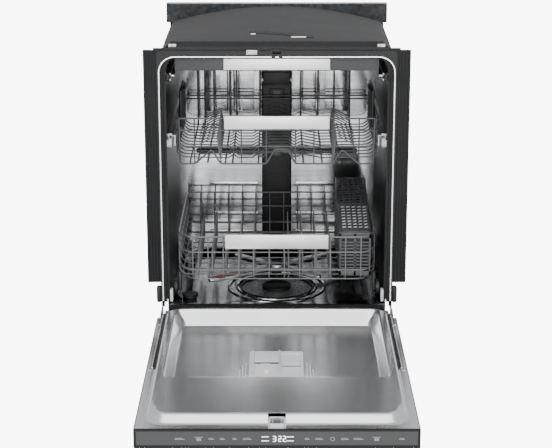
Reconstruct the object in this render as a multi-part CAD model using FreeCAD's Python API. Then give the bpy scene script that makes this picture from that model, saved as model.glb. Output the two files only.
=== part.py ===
"""Built-in dishwasher with its door lying open, three sliding racks and its works in the base.

Frame: X to the right, Y towards the back, Z up, millimetres. The origin is on the floor, in the
middle of the width, in the plane of the front frame. The door is modelled open and the racks in.
"""
import FreeCAD, Part
import math
import os
from FreeCAD import Vector as V
# ---- driving sizes: change these and the rest follows -------------------------------------------
frame_width = 602.0          # front frame that closes the gap to the cupboards
frame_top = 824.0            # top of the front frame above the floor
unit_back = 550.0            # back of the base, behind the front frame
floor_z = 0.0

# ---- clearances -----------------------------------------------------------------------------
gap = 0.5                    # between pieces that move past each other
pin_clearance = 0.05         # running fit of a pin in its hole, on the radius
wheel_clear = 0.6            # wheels and rollers over or under what they run on
lid_gap = 0.4                # under a closed lid
thread_clear = 0.2           # stem of a foot in its post

# ---- tub ------------------------------------------------------------------------------------
frame_half = frame_width / 2
mouth_half = frame_half - 12.0
mouth_top = frame_top - 22.0
mouth_corner_r = 40.0
tub_half = mouth_half - 17.0         # inside half width behind the mouth
tub_top = mouth_top - 2.0            # inside height of the ceiling
tub_corner_r = 34.0
tub_front = 14.0                     # where the tub walls start
tub_back = unit_back - 50.0          # inside face of the back wall
tub_sheet = 1.2
sill_z = 166.0                       # top of the ledge round the tub floor
tub_floor_z = 150.0                  # lowest part of the formed floor
ledge_width = 34.0
frame_depth = 14.0
frame_step = 3.0                     # how far the frame laps the tub wall
frame_rim = 8.0                      # front band's set-in from the frame's outline
frame_foot_z = 176.0                 # lower ends of the front frame's legs
trim_wall = 2.5
seal_wall = 9.0
seal_wall_top = 3.0                  # thinner over the third rack
top_bar_back = 96.0                  # back edge of the deck on the top bar
deck_half = frame_half - 37.0
deck_sheet = 2.0
rib_count = 7
rib_width = 4.0
strike_x = 0.0
strike_half = 14.0
strike_depth = 20.0

# ---- blanket, seals and rear bracket ----------------------------------------------------------
blanket_wall = 8.0
blanket_loose = 10.0                 # how far it stands off the tub's sides
blanket_front = top_bar_back + 8.0
blanket_edge_top = tub_top + 14.0
blanket_crown = frame_top + 32.0
blanket_foot = 190.0
blanket_corner_r = 30.0
blanket_rise = 6.0                   # shoulders climb this much towards the back
bracket_low = tub_top + 11.0
bracket_top = frame_top + 38.0       # highest point of the unit
bracket_half = frame_half - 2.0
bracket_front = tub_back - 28.0
bracket_depth = 30.0
bracket_sheet = 2.0
bracket_slot_x = (frame_half - 47.0, frame_half - 107.0)
bracket_slot_len = 44.0
bracket_slot_r = 4.5
bracket_foot_x = (150.0, 200.0)
flap_inner = frame_half - 8.0
flap_outer = frame_half + 25.0
flap_low = 224.0
flap_high = frame_top - 6.0
flap_ribs = 3
flap_pitch = 11.0
clip_x = frame_half - 47.0
clip_half = 9.0
clip_sheet = 1.2
clip_tab = 7.0
clip_hole_r = 2.5
clip_hole_y = 24.0
tag_x = -61.0
tag_half = 13.0
tag_sheet = 1.2

# ---- base -----------------------------------------------------------------------------------
base_half = frame_half - 17.0
base_front = 30.0
base_low = 24.0
base_high = 60.0
base_wall = 3.0
foot_x = frame_half - 46.0
foot_rows = (46.0, unit_back - 30.0)
foot_thread_r = 5.0
foot_pad_r = 17.0
foot_pad_height = 8.0
foot_post_r = 14.0
foot_post_top = 46.0
foot_stem_top = 44.0
rail_x = tub_half + 5.0
rail_sheet = 2.0
bracket_in = tub_half + 18.6         # faces of the steel hinge plates
bracket_out = tub_half + 22.0
plate_low = 62.0
plate_reach = 12.0                   # plate beyond the hinge axis
plate_back = 44.0
kick_front = 20.0
kick_low = 12.0
kick_high = 92.0
kick_sheet = 2.0
spring_x = frame_half - 33.0
spring_z = 92.0
spring_r = 7.0
spring_wire_r = 1.6
spring_span = (120.0, 290.0)

# ---- hinge and door -------------------------------------------------------------------------
hinge_y = -27.0
hinge_z = 139.0
hinge_pin_r = 4.0
hinge_eye_r = 10.0
hinge_arm_len = 393.0
door_width = frame_width - 2.0
door_half = door_width / 2
door_reach = frame_top + 29.0 - hinge_z   # hinge axis to the door's free end
door_near = hinge_y - door_reach     # free end of the door while it lies open
door_far = -2.0                      # hinge end
door_under = 108.0                   # outer face of the door while it lies open
door_sheet = 1.2
flange_z = 151.0                     # flat rim of the liner
ridge_rise = 14.0                    # raised ridge over the rim
liner_floor_z = 130.0
liner_sheet = 1.5
ridge_half = door_half - 28.0
ridge_foot = 8.0                     # how far the ridge's outer wall spreads
ridge_far = -24.0
ridge_near = door_near + 57.0
rim_near = door_near + 13.0
recess_half = ridge_half - 15.0
recess_floor_half = recess_half - 22.0
recess_far = -27.0
recess_floor_far = -64.0
recess_near = door_near + 253.0
recess_floor_near = recess_near + 33.0
strip_depth = 6.0                    # control panel thickness
strip_low = door_under + 4.0
strip_edge = 6.0                     # frame of the panel round its lens
strip_glass = 0.8
notch_half = door_half - 17.0        # door corners are cut back beyond this for the hinges
notch_len = 55.0
screw_x = door_half - 12.0
screw_rows = (-410.0, -110.0)
screw_r = 4.0
handle_y = door_near + 57.0
handle_drop = 44.0
handle_r = 9.0
handle_reach = door_half - 38.0
handle_post_x = handle_reach - 26.0
handle_post_r = 8.0
latch_half = 19.0
latch_y0, latch_y1 = door_near + 10.0, door_near + 51.0
latch_wall = 5.0
latch_depth = 26.0
latch_rise = 6.0
latch_axis_y = door_near + 33.0
latch_axis_z = hinge_z - 1.0
latch_pin_r = 2.5
claw_half = 7.0
board_half = 180.0
board_z = 116.0
board_sheet = 1.6

# ---- dispenser ------------------------------------------------------------------------------
disp_x0, disp_x1 = -64.0, 62.0
disp_y0, disp_y1 = -410.0, -258.0
disp_top = liner_floor_z + 12.0
disp_face = disp_top - 4.0           # face that the lids lie on
disp_depth = 12.0
disp_lap = 3.5                       # rim that laps the liner
cup_x0, cup_x1 = -52.0, 4.0
cup_y0, cup_y1 = -330.0, -272.0
tank_x0, tank_x1 = 14.0, 52.0
tank_y0, tank_y1 = -350.0, -290.0
button_x, button_y, button_r = -24.0, -392.0, 7.0
lid_sheet = 3.0

# ---- water works ----------------------------------------------------------------------------
sump_y = 190.0
sump_r = 96.0
sump_low = 92.0
riser_r = 13.0
riser_top = 179.0
pan_well_r = 60.0
cup_r = 38.0
cup_wall = 3.0
slot_r = 2.5
slot_rings = ((52.0, 18), (68.0, 24), (82.0, 28))
float_x, float_y, float_r = -222.0, 60.0, 16.0
float_stem_r = 3.0
float_cap = 8.0
pump_x, pump_z = 150.0, 92.0
pump_front, pump_back = 244.0, 400.0
pump_r = 34.0
pump_chamber_r = 24.0
pump_wall = 6.0
motor_r = 27.0
motor_front = 300.0
vane_count = 6
drain_x, drain_z, drain_r = -60.0, 82.0, 22.0
drain_front, drain_mid, drain_back = 292.0, 350.0, 392.0
nozzle_x, nozzle_z, nozzle_r = -200.0, 84.0, 9.5
nozzle_wall = 2.0
nozzle_reach = 20.0
valve_x, valve_y, valve_z = 215.0, 86.0, 84.0
valve_half = 18.0
valve_depth = 40.0
valve_port_r = 8.6
valve_port_len = 16.0
box_x, box_front, box_back = -222.0, 60.0, 110.0
box_half = 40.0
box_low, box_high = 62.0, 126.0
box_sheet = 2.0
gland_z = 92.0
gland_bore_r = 7.0
gland_len = 8.0
duct_half = 41.0
duct_front = tub_back - 30.0
duct_low = 196.0
duct_wall = 3.0
duct_ports = (560.0, 742.0)
port_r = 12.0
arm_centre_y = 245.0
spindle_r = 9.0
lower_arm_z = 186.0
arm_thick = 9.0
long_reach, short_reach = 216.0, 150.0
long_turn, short_turn = 35.0, -40.0
middle_reach = 212.0
top_reach = 95.0

# ---- racks ----------------------------------------------------------------------------------
rack_half = tub_half - 22.0
rack_front = 26.0
rack_back = tub_back - 38.0
wire_r = 2.2                         # frame wires
cross_r = 1.7                        # lighter wires
handle_half = 130.0
bar_depth = 9.0
bar_wall = 1.5
lower_floor_z = 220.0
lower_top_z = lower_floor_z + 117.0
lower_levels = (lower_top_z, lower_floor_z + 77.0, lower_floor_z + 30.0)
lower_bar = (lower_top_z - 28.0, lower_top_z + 9.0)
lower_tine_rows = (-200.0, -165.0, -130.0, -95.0, 30.0, 66.0, 102.0, 138.0)
lower_tine_height = 72.0
lower_hinge_x = -60.0
lower_tine_z = lower_floor_z + wire_r + cross_r + 0.9
upper_floor_z = 530.0
upper_top_z = upper_floor_z + 113.0
upper_levels = (upper_top_z, upper_floor_z + 83.0, upper_floor_z + 43.0)
upper_bar = (upper_top_z - 25.0, upper_top_z + 8.0)
upper_tine_x = 142.0
upper_tine_z = upper_floor_z + wire_r + cross_r + 0.9
peak_lean, peak_rise = 8.0, 57.0     # peak of a cup tine from its foot
wing_lean, wing_rise = 56.0, 32.0    # its outer end
upper_back_top = upper_floor_z + 160.0
upper_back_levels = (upper_back_top, upper_floor_z + 82.0, upper_floor_z + 73.0, upper_floor_z + 4.0)
third_floor_z = 761.0
third_top_z = third_floor_z + 14.0
panel_sheet = 2.0                    # solid front of the third rack
third_panel = (third_floor_z + 2.0, third_floor_z + 33.5)
third_bar = (third_floor_z + 5.0, third_floor_z + 33.5)
wheel_r = 20.0
wheel_width = 11.0
axle_r = 4.0
wheel_rows = (84.0, rack_back - 58.0)
wheel_z = sill_z + wheel_r + wheel_clear
rail_in = tub_half - 14.0
upper_rail_z = upper_floor_z + 50.0
third_rail_z = third_floor_z - 13.0
roller_r = 12.0
roller_y = 32.0
stub_r = 4.0
adjuster_y0, adjuster_y1 = 120.0, 260.0
adjuster_z0, adjuster_z1 = upper_floor_z + 70.0, upper_floor_z + 165.0

# ---- cutlery basket -------------------------------------------------------------------------
basket_x0, basket_x1 = 158.0, 240.0
basket_y0, basket_y1 = 42.0, 366.0
basket_z0, basket_z1 = lower_floor_z + 8.0, lower_floor_z + 124.0
basket_rise = 60.0                   # the top climbs this much towards the back
basket_wall = 2.0
basket_cells = 4
lid_wall = 2.4
lid_hinge_x = basket_x0 + 3.0
lid_barrel_r = 2.5


# ---- small helpers --------------------------------------------------------------------------
def block(x0, x1, y0, y1, z0, z1):
    """Box from its low and high faces."""
    return Part.makeBox(x1 - x0, y1 - y0, z1 - z0, V(x0, y0, z0))


def rod(start, end, radius):
    """Round bar from one point to another."""
    start, end = V(*start), V(*end)
    run = end.sub(start)
    return Part.makeCylinder(radius, run.Length, start, run)


def tube(start, end, outer, inner):
    """Round tube from one point to another."""
    return rod(start, end, outer).cut(rod(start, end, inner))


def fused(pieces):
    """One solid from pieces that cross or touch."""
    body = pieces[0].multiFuse(list(pieces[1:])) if len(pieces) > 1 else pieces[0]
    return body.removeSplitter()


def group(pieces):
    """Separate solids kept in one sub-part."""
    return Part.makeCompound(list(pieces))


def both_sides(shape):
    """A piece and its mirror image across the middle plane."""
    return [shape, shape.mirror(V(0, 0, 0), V(1, 0, 0))]


def rounded_outline(x0, x1, y0, y1, z, radius):
    """Closed rounded rectangle at height z."""
    k = radius
    corners = [(x1 - k, y1 - k, 0), (x0 + k, y1 - k, 90), (x0 + k, y0 + k, 180), (x1 - k, y0 + k, 270)]
    arcs = []
    for cx, cy, turn in corners:
        pts = [V(cx + k * math.cos(math.radians(turn + a)), cy + k * math.sin(math.radians(turn + a)), z)
               for a in (0, 45, 90)]
        arcs.append(Part.Arc(*pts).toShape())
    edges = []
    for here, after in zip(arcs, arcs[1:] + arcs[:1]):
        edges.append(here)
        edges.append(Part.LineSegment(here.valueAt(here.LastParameter),
                                      after.valueAt(after.FirstParameter)).toShape())
    return Part.Wire(edges)


def frustum(low, high):
    """Solid between two rounded outlines."""
    return Part.makeLoft([low, high], True, True)


def arch_outline(half, top, foot, radius, y):
    """Upside-down U outline, closed at the foot, in a plane across the unit."""
    c45 = radius * math.cos(math.radians(45))
    pts = {
        "a": V(-half, y, foot), "b": V(-half, y, top - radius), "c": V(-half + radius, y, top),
        "d": V(half - radius, y, top), "e": V(half, y, top - radius), "f": V(half, y, foot),
    }
    left = V(-half + radius - c45, y, top - radius + c45)
    right = V(half - radius + c45, y, top - radius + c45)
    edges = [
        Part.LineSegment(pts["a"], pts["b"]).toShape(), Part.Arc(pts["b"], left, pts["c"]).toShape(),
        Part.LineSegment(pts["c"], pts["d"]).toShape(), Part.Arc(pts["d"], right, pts["e"]).toShape(),
        Part.LineSegment(pts["e"], pts["f"]).toShape(), Part.LineSegment(pts["f"], pts["a"]).toShape(),
    ]
    return Part.Wire(edges)


def arch_block(half, top, foot, radius, y0, y1):
    """Solid arch between two planes."""
    return Part.Face(arch_outline(half, top, foot, radius, y0)).extrude(V(0, y1 - y0, 0))


def arch_band(outer, inner, foot, y0, y1):
    """Upside-down U band: outer and inner are (half width, top, corner radius)."""
    solid = arch_block(outer[0], outer[1], foot, outer[2], y0, y1)
    return solid.cut(arch_block(inner[0], inner[1], foot - 1.0, inner[2], y0 - 1.0, y1 + 1.0))


def spaced(low, high, count):
    """Evenly spaced values from low to high."""
    return [low + (high - low) * i / (count - 1) for i in range(count)]


# ---- tub and cabinet ------------------------------------------------------------------------
def tub_wrapper():
    outer = (tub_half + tub_sheet, tub_top + tub_sheet, tub_corner_r + tub_sheet)
    return arch_band(outer, (tub_half, tub_top, tub_corner_r), tub_floor_z, tub_front, tub_back)


def tub_back_wall():
    wall = arch_block(tub_half + tub_sheet, tub_top + tub_sheet, tub_floor_z, tub_corner_r + tub_sheet,
                      tub_back, tub_back + tub_sheet)
    return wall


def tub_floor():
    """Formed pan: a ledge round the edge, a sloping bottom and the round well for the filters."""
    half = tub_half - gap
    front, back = tub_front - 8.0, tub_back - gap
    top = block(-half, half, front, back, tub_floor_z - 3.0, sill_z)
    inner_low = rounded_outline(-half + ledge_width + 14, half - ledge_width - 14,
                                front + 26, back - 30, tub_floor_z, 40)
    inner_high = rounded_outline(-half + ledge_width, half - ledge_width, front + 14, back - 14,
                                 sill_z + 0.01, 50)
    pan = top.cut(frustum(inner_low, inner_high))
    hollow_low = rounded_outline(-half + 2, half - 2, front + 2, back - 2, tub_floor_z - 3.01, 20)
    hollow_high = rounded_outline(-half + ledge_width - 4, half - ledge_width + 4, front + 10, back - 10,
                                  sill_z - 2.0, 46)
    rim = frustum(hollow_low, hollow_high)
    keep_low = rounded_outline(-half + ledge_width + 8, half - ledge_width - 8, front + 22, back - 26,
                               tub_floor_z - 4.0, 40)
    keep_high = rounded_outline(-half + ledge_width - 6.5, half - ledge_width + 6.5, front + 12,
                                back - 12, sill_z + 0.01, 46)
    pan = pan.cut(rim.cut(frustum(keep_low, keep_high)))
    pan = pan.cut(rod((0, sump_y, tub_floor_z - 10), (0, sump_y, sill_z), sump_r + gap))
    pan = pan.cut(rod((float_x, float_y, tub_floor_z - 20), (float_x, float_y, sill_z + 5), float_r + gap))
    return pan


def front_frame():
    """Black frame round the mouth, with the deep ribbed bar along its top."""
    leg = (frame_half - frame_rim, frame_top - frame_rim, frame_rim)
    band = arch_band(leg, (mouth_half, mouth_top, mouth_corner_r), frame_foot_z, 0.0, frame_depth)
    step = arch_band(leg, (tub_half + tub_sheet, tub_top + tub_sheet, tub_corner_r + tub_sheet),
                     frame_foot_z, frame_depth, frame_depth + frame_step)
    front = block(-frame_half, frame_half, frame_depth / 2, frame_depth / 2 + deck_sheet,
                  mouth_top + trim_wall, frame_top - deck_sheet)
    deck = block(-deck_half, deck_half, frame_depth / 2, top_bar_back, frame_top - 2 * deck_sheet,
                 frame_top - deck_sheet)
    ribs = [block(-deck_half, deck_half, y, y + rib_width, frame_top - 1.5 * deck_sheet, frame_top)
            for y in spaced(2 * rib_width, top_bar_back - 2 * rib_width, rib_count)]
    frame = fused([band, step, front, deck] + ribs)
    pocket = block(strike_x - strike_half, strike_x + strike_half, -1.0, strike_depth,
                   mouth_top + 2 * deck_sheet, frame_top - 2.5 * deck_sheet)
    return frame.cut(pocket)


def strike_box():
    """Box in the top bar that the door's latch closes into, open at the front."""
    low, high = mouth_top + 2 * deck_sheet, frame_top - 2.5 * deck_sheet
    wall = deck_sheet
    shell = block(strike_x - strike_half, strike_x + strike_half, 1.0, strike_depth, low, high)
    mouth = block(strike_x - strike_half + 1.5 * wall, strike_x + strike_half - 1.5 * wall, 0.0,
                  strike_depth - 2.5 * wall, low + wall, high - 1.5 * wall)
    return shell.cut(mouth)


def mouth_trim():
    """Bright folded edge of the steel tub."""
    inner = (mouth_half - trim_wall, mouth_top - trim_wall, mouth_corner_r - trim_wall)
    return arch_band((mouth_half, mouth_top, mouth_corner_r), inner, frame_foot_z - 8.0, 1.0, frame_depth)


def tub_gasket():
    """Rubber seal seated between the bright edge and the tub wall, and the lip under the sill."""
    outer = (mouth_half - trim_wall, mouth_top - trim_wall, mouth_corner_r - trim_wall)
    inner = (outer[0] - seal_wall, outer[1] - seal_wall_top, outer[2] - seal_wall)
    lip = block(-tub_half + 1, tub_half - 1, 3.0, 6.0, tub_floor_z + 2, sill_z - 3.0)
    return group([arch_band(outer, inner, frame_foot_z - 4.0, 3.0, frame_depth), lip])


def blanket_section(half, top, crown, y):
    """Closed arch outline whose top rises to a crown in the middle."""
    r = blanket_corner_r
    pts = [V(-half, y, blanket_foot), V(-half, y, top - r), V(-half + r, y, top)]
    c = r * math.cos(math.radians(45))
    edges = [Part.LineSegment(pts[0], pts[1]).toShape(),
             Part.Arc(pts[1], V(-half + r - c, y, top - r + c), pts[2]).toShape(),
             Part.Arc(pts[2], V(0, y, crown), V(half - r, y, top)).toShape(),
             Part.Arc(V(half - r, y, top), V(half - r + c, y, top - r + c), V(half, y, top - r)).toShape(),
             Part.LineSegment(V(half, y, top - r), V(half, y, blanket_foot)).toShape(),
             Part.LineSegment(V(half, y, blanket_foot), pts[0]).toShape()]
    return Part.Wire(edges)


def insulation_blanket():
    """Sound blanket laid over the tub, humped up where it meets the rear bracket, and its back sheet."""
    half = tub_half + tub_sheet + gap + blanket_loose + blanket_wall
    back = tub_back + tub_sheet
    edge = bracket_front - gap
    outer = Part.makeLoft([blanket_section(half, blanket_edge_top, blanket_edge_top + 2, blanket_front),
                           blanket_section(half, blanket_edge_top + blanket_rise, blanket_crown, edge)], True, True)
    w = blanket_wall
    inner = Part.makeLoft([
        blanket_section(half - w, blanket_edge_top - w, blanket_edge_top + 2 - w, blanket_front),
        blanket_section(half - w, blanket_edge_top + blanket_rise - w, blanket_crown - w, edge)], True, True)
    inner = inner.fuse(block(-half + w, half - w, blanket_front - 1, edge + 1, blanket_foot - 5,
                             blanket_foot + 30))
    hood = outer.cut(inner).removeSplitter()
    sheet = block(-half, half, back + gap, back + gap + blanket_wall, blanket_foot, bracket_low - 3.0)
    return group([hood, sheet])


def side_seals():
    """Ribbed rubber flaps that fill the gap to the cupboards on each side."""
    flap = block(flap_inner, flap_outer, 4.0, 6.5, flap_low, flap_high)
    ribs = [block(x, x + rib_width, 1.5, 4.5, flap_low, flap_high)
            for x in [flap_inner + rib_width + flap_pitch * i for i in range(flap_ribs)]]
    return group(both_sides(fused([flap] + ribs)))


def rear_bracket():
    """Folded steel channel across the back, slotted along its top for screws to the cupboards."""
    y0, y1 = bracket_front, bracket_front + bracket_depth
    s = bracket_sheet
    face = block(-bracket_half, bracket_half, y0, y0 + s, bracket_low, bracket_top)
    top = block(-bracket_half, bracket_half, y0, y1, bracket_top - s, bracket_top)
    wings = both_sides(block(bracket_half - s, bracket_half, y0, y1, bracket_low, bracket_top))
    feet = both_sides(block(*bracket_foot_x, y0, y0 + s, tub_top + tub_sheet, bracket_low))
    body = fused([face, top] + wings + feet)
    for x in bracket_slot_x:
        half_run = bracket_slot_len / 2 - bracket_slot_r
        for side in (-1, 1):
            mid = side * x
            y = y0 + bracket_depth / 2
            cut = block(mid - half_run, mid + half_run, y - bracket_slot_r, y + bracket_slot_r,
                        bracket_top - 5, bracket_top + 5)
            ends = [rod((mid + k * half_run, y, bracket_top - 5), (mid + k * half_run, y, bracket_top + 5),
                        bracket_slot_r) for k in (-1, 1)]
            body = body.cut(cut.fuse(ends[0]).fuse(ends[1]))
    return body


def cabinet_clips():
    """Small steel tabs on the top bar, screwed up into the worktop."""
    z = frame_top
    front, back = clip_hole_y - 14.0, clip_hole_y + 10.0
    foot = block(clip_x - clip_half, clip_x + clip_half, front, back, z, z + clip_sheet)
    tab = block(clip_x - clip_half, clip_x + clip_half, front, front + clip_sheet, z, z + clip_tab)
    hole = rod((clip_x, clip_hole_y, z - 1), (clip_x, clip_hole_y, z + 3), clip_hole_r)
    clip = fused([foot, tab]).cut(hole)
    tag = block(tag_x - tag_half, tag_x + tag_half, -tag_sheet, 0.0, mouth_top + 5.0, frame_top - 6.0)
    return group(both_sides(clip) + [tag])


def base_tray():
    """Moulded tray under the tub that carries the pumps."""
    wall = base_wall
    outer = block(-base_half, base_half, base_front, unit_back, base_low, base_high)
    inner = block(-base_half + wall, base_half - wall, base_front + wall, unit_back - wall,
                  base_low + wall, base_high + 1.0)
    places = [(side * foot_x, y) for side in (-1, 1) for y in foot_rows]
    posts = [rod((x, y, base_low + 2.0), (x, y, foot_post_top), foot_post_r) for x, y in places]
    tray = fused([outer.cut(inner)] + posts)
    for x, y in places:
        hole = rod((x, y, base_low - 4.0), (x, y, foot_post_top + 4.0), foot_thread_r + thread_clear)
        tray = tray.cut(hole)
    return tray


def kick_plate():
    """Black toe panel below the door."""
    half = bracket_in - gap
    panel = block(-half, half, kick_front, kick_front + kick_sheet, kick_low, kick_high)
    lip = block(-half, half, kick_front, base_front, kick_high - kick_sheet, kick_high)
    return fused([panel, lip])


def leveling_feet():
    """Four screw feet."""
    feet = []
    for x in (-foot_x, foot_x):
        for y in foot_rows:
            pad = rod((x, y, floor_z), (x, y, floor_z + foot_pad_height), foot_pad_r)
            stem = rod((x, y, floor_z + foot_pad_height), (x, y, foot_stem_top), foot_thread_r)
            feet.append(fused([pad, stem]))
    return group(feet)


def side_frames():
    """Steel side frames on the base: a rail under the tub and the plate with the door's pin."""
    low, back = plate_low, plate_back
    plate = block(bracket_in, bracket_out, hinge_y - plate_reach, back, low, hinge_z + plate_reach)
    pin = rod((notch_half + gap, hinge_y, hinge_z), (bracket_in, hinge_y, hinge_z), hinge_pin_r)
    foot = block(rail_x, bracket_out, back - 3.0, back, low, low + 18.0)
    rail = block(rail_x, rail_x + rail_sheet, back - 3.0, tub_back - 4.0, base_high, tub_floor_z + 18.0)
    return group(both_sides(fused([plate, pin, foot, rail])))


def door_springs():
    """Extension springs in the base that balance the door, shown at their open-door length."""
    x, z, (y0, y1) = spring_x, spring_z, spring_span
    coil = [Part.makeTorus(spring_r, spring_wire_r, V(x, y, z), V(0, 1, 0))
            for y in spaced(y0 + spring_r, y1 - spring_r, 12)]
    core = rod((x, y0, z), (x, y1, z), spring_r - 1.0)
    return group(both_sides(fused([core] + coil)))


# ---- water works ----------------------------------------------------------------------------
def sump():
    """Round well under the filters, with the pipe that the lower arm spins on."""
    outer = rod((0, sump_y, sump_low), (0, sump_y, tub_floor_z + 2.0), sump_r)
    well = rod((0, sump_y, sump_low + 4.0), (0, sump_y, tub_floor_z - 4.0), pan_well_r)
    seat_cut = rod((0, sump_y, tub_floor_z - 4.0), (0, sump_y, tub_floor_z + 3.0), sump_r - 4.0)
    post = rod((0, arm_centre_y, sump_low + 4.0), (0, arm_centre_y, riser_top), riser_r)
    spindle = rod((0, arm_centre_y, riser_top), (0, arm_centre_y, lower_arm_z + 5.0), spindle_r)
    return fused([outer.cut(well).cut(seat_cut), post, spindle])


def filter_plate():
    """Fine mesh plate with a ring of water slots round the filter cup."""
    plate = rod((0, sump_y, tub_floor_z - 4.0), (0, sump_y, tub_floor_z - 2.0), sump_r - 4.0 - gap)
    plate = plate.cut(rod((0, sump_y, tub_floor_z - 5.0), (0, sump_y, tub_floor_z), cup_r + gap))
    post = rod((0, arm_centre_y, tub_floor_z - 5.0), (0, arm_centre_y, tub_floor_z), riser_r + gap)
    plate = plate.cut(post)
    for ring, count in slot_rings:
        for i in range(count):
            a = 2 * math.pi * i / count
            x, y = ring * math.cos(a), sump_y + ring * math.sin(a)
            if math.hypot(x, y - arm_centre_y) < riser_r + 6.0:
                continue
            plate = plate.cut(rod((x, y, tub_floor_z - 5.0), (x, y, tub_floor_z), slot_r))
    return plate


def filter_cup():
    """Cylindrical filter with its finger grip, which lifts out after a quarter turn."""
    low = sump_low + 8.0
    wall = tube((0, sump_y, low), (0, sump_y, tub_floor_z + 6.0), cup_r, cup_r - cup_wall)
    floor = rod((0, sump_y, low - 2.0), (0, sump_y, low), cup_r)
    grip = block(-cup_r + 1, cup_r - 1, sump_y - cup_wall, sump_y + cup_wall, tub_floor_z - 8.0,
                 tub_floor_z + 10.0)
    return fused([wall, floor, grip])


def circulation_pump():
    """Motor and pump housing lying beside the sump."""
    x, z, inside = pump_x, pump_z, pump_front + pump_wall
    motor = rod((x, motor_front, z), (x, pump_back, z), motor_r)
    volute = tube((x, inside, z), (x, motor_front, z), pump_r, pump_chamber_r)
    front = rod((x, pump_front, z), (x, inside, z), pump_r)
    feed = rod((sump_r + 5.0, pump_front - 8.0, z + 16.0),
               (x - pump_r + 3.0, inside + pump_wall, z + 13.0), 9.0)
    return fused([motor, volute, front, feed])


def pump_impeller():
    """Vaned wheel in the pump housing."""
    x, z, inside = pump_x, pump_z, pump_front + pump_wall
    hub = rod((x, inside + 4.0, z), (x, motor_front - 4.0, z), 6.0)
    disc = rod((x, inside + 6.0, z), (x, inside + 9.0, z), pump_chamber_r - 2.0)
    vanes = []
    for i in range(vane_count):
        vane = block(x + 4.0, x + pump_chamber_r - 3.0, inside + 8.0, inside + 26.0, z - 0.8, z + 0.8)
        vane.rotate(V(x, 0, z), V(0, 1, 0), 360 / vane_count * i)
        vanes.append(vane)
    return fused([hub, disc] + vanes)


def drain_pump():
    """Small pump that empties the sump, with its motor."""
    x, z, r = drain_x, drain_z, drain_r
    body = rod((x, drain_front, z), (x, drain_mid, z), r)
    motor = block(x - r - 2.0, x + r + 2.0, drain_mid, drain_back, z - 20.0, z + 20.0)
    return fused([body, motor])


def drain_nozzle():
    """Barbed outlet that the drain hose pushes onto, at the back of the base."""
    x, z = nozzle_x, nozzle_z
    flange = rod((x, unit_back - 6.0, z), (x, unit_back - 3.0, z), 14.0)
    pipe = rod((x, unit_back - 3.0, z), (x, unit_back + nozzle_reach, z), nozzle_r)
    inside = rod((x, unit_back - 40.0, z), (x, unit_back - 6.0, z), nozzle_r)
    bore = rod((x, unit_back - 41.0, z), (x, unit_back + nozzle_reach + 1.0, z), nozzle_r - nozzle_wall)
    return fused([flange, pipe, inside]).cut(bore)


def inlet_valve():
    """Electric water valve with the threaded inlet that faces the back of the base."""
    x, z, half, back = valve_x, valve_z, valve_half, valve_y + valve_depth
    body = block(x - half, x + half, valve_y, back, z - half, z + half)
    coil = rod((x, valve_y + half, z + half), (x, valve_y + half, z + half + 30.0), 13.0)
    port = rod((x, back, z), (x, back + valve_port_len, z), 12.0)
    bore = rod((x, back - 8.0, z), (x, back + valve_port_len + 1.0, z), valve_port_r)
    return fused([body, coil, port]).cut(bore)


def junction_box():
    """Sheet steel box for the mains connection, with its cable gland at the back."""
    x0, x1, s = box_x - box_half, box_x + box_half, box_sheet
    outer = block(x0, x1, box_front, box_back, box_low, box_high)
    inner = block(x0 + s, x1 - s, box_front + s, box_back - s, box_low + s, box_high - s)
    ring = tube((box_x, box_back, gland_z), (box_x, box_back + gland_len, gland_z), 2 * gland_bore_r,
                gland_bore_r)
    hole = rod((box_x, box_back - 2 * s, gland_z), (box_x, box_back + gland_len + 1.0, gland_z),
               gland_bore_r)
    return outer.cut(inner).fuse(ring).cut(hole)


def float_dome():
    """Dome that rises with the water and trips the overfill switch."""
    cap = rod((float_x, float_y, sill_z + 2.0), (float_x, float_y, sill_z + 2.0 + float_cap), float_r + 4.0)
    skirt = tube((float_x, float_y, tub_floor_z), (float_x, float_y, sill_z + 2.0), float_r, float_r - 2.0)
    stem = rod((float_x, float_y, tub_floor_z - 18.0), (float_x, float_y, sill_z + 2.0), float_stem_r)
    return fused([cap, skirt, stem])


def water_duct():
    """Flat black channel up the back wall with a branch for each spray arm."""
    wall, mid = duct_wall, (duct_front + tub_back) / 2
    channel = block(-duct_half, duct_half, duct_front, tub_back, duct_low, tub_top)
    hollow = block(-duct_half + wall, duct_half - wall, duct_front + wall, tub_back - wall, duct_low + wall,
                   tub_top - 11.0)
    foot = rod((0, mid, sill_z), (0, mid, duct_low + 1.0), mid - duct_front - 1.0)
    body = fused([channel.cut(hollow), foot] + ceiling_run())
    for z in duct_ports:
        body = body.cut(rod((0, duct_front - 1, z), (0, duct_front + wall + 1, z), port_r))
    return body


def arm_blade(z, reach, width, thick, tip):
    """One long flat blade, rounded at both ends and slimmer towards its tips."""
    outline = [V(-reach + tip, -tip, 0), V(0, -width, 0), V(reach - tip, -tip, 0)]
    back = [V(reach - tip, tip, 0), V(0, width, 0), V(-reach + tip, tip, 0)]
    edges = [Part.LineSegment(outline[0], outline[1]).toShape(),
             Part.LineSegment(outline[1], outline[2]).toShape(),
             Part.Arc(outline[2], V(reach, 0, 0), back[0]).toShape(),
             Part.LineSegment(back[0], back[1]).toShape(),
             Part.LineSegment(back[1], back[2]).toShape(),
             Part.Arc(back[2], V(-reach, 0, 0), outline[0]).toShape()]
    blade = Part.Face(Part.Wire(edges)).extrude(V(0, 0, thick))
    blade.translate(V(0, arm_centre_y, z))
    return blade


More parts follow.
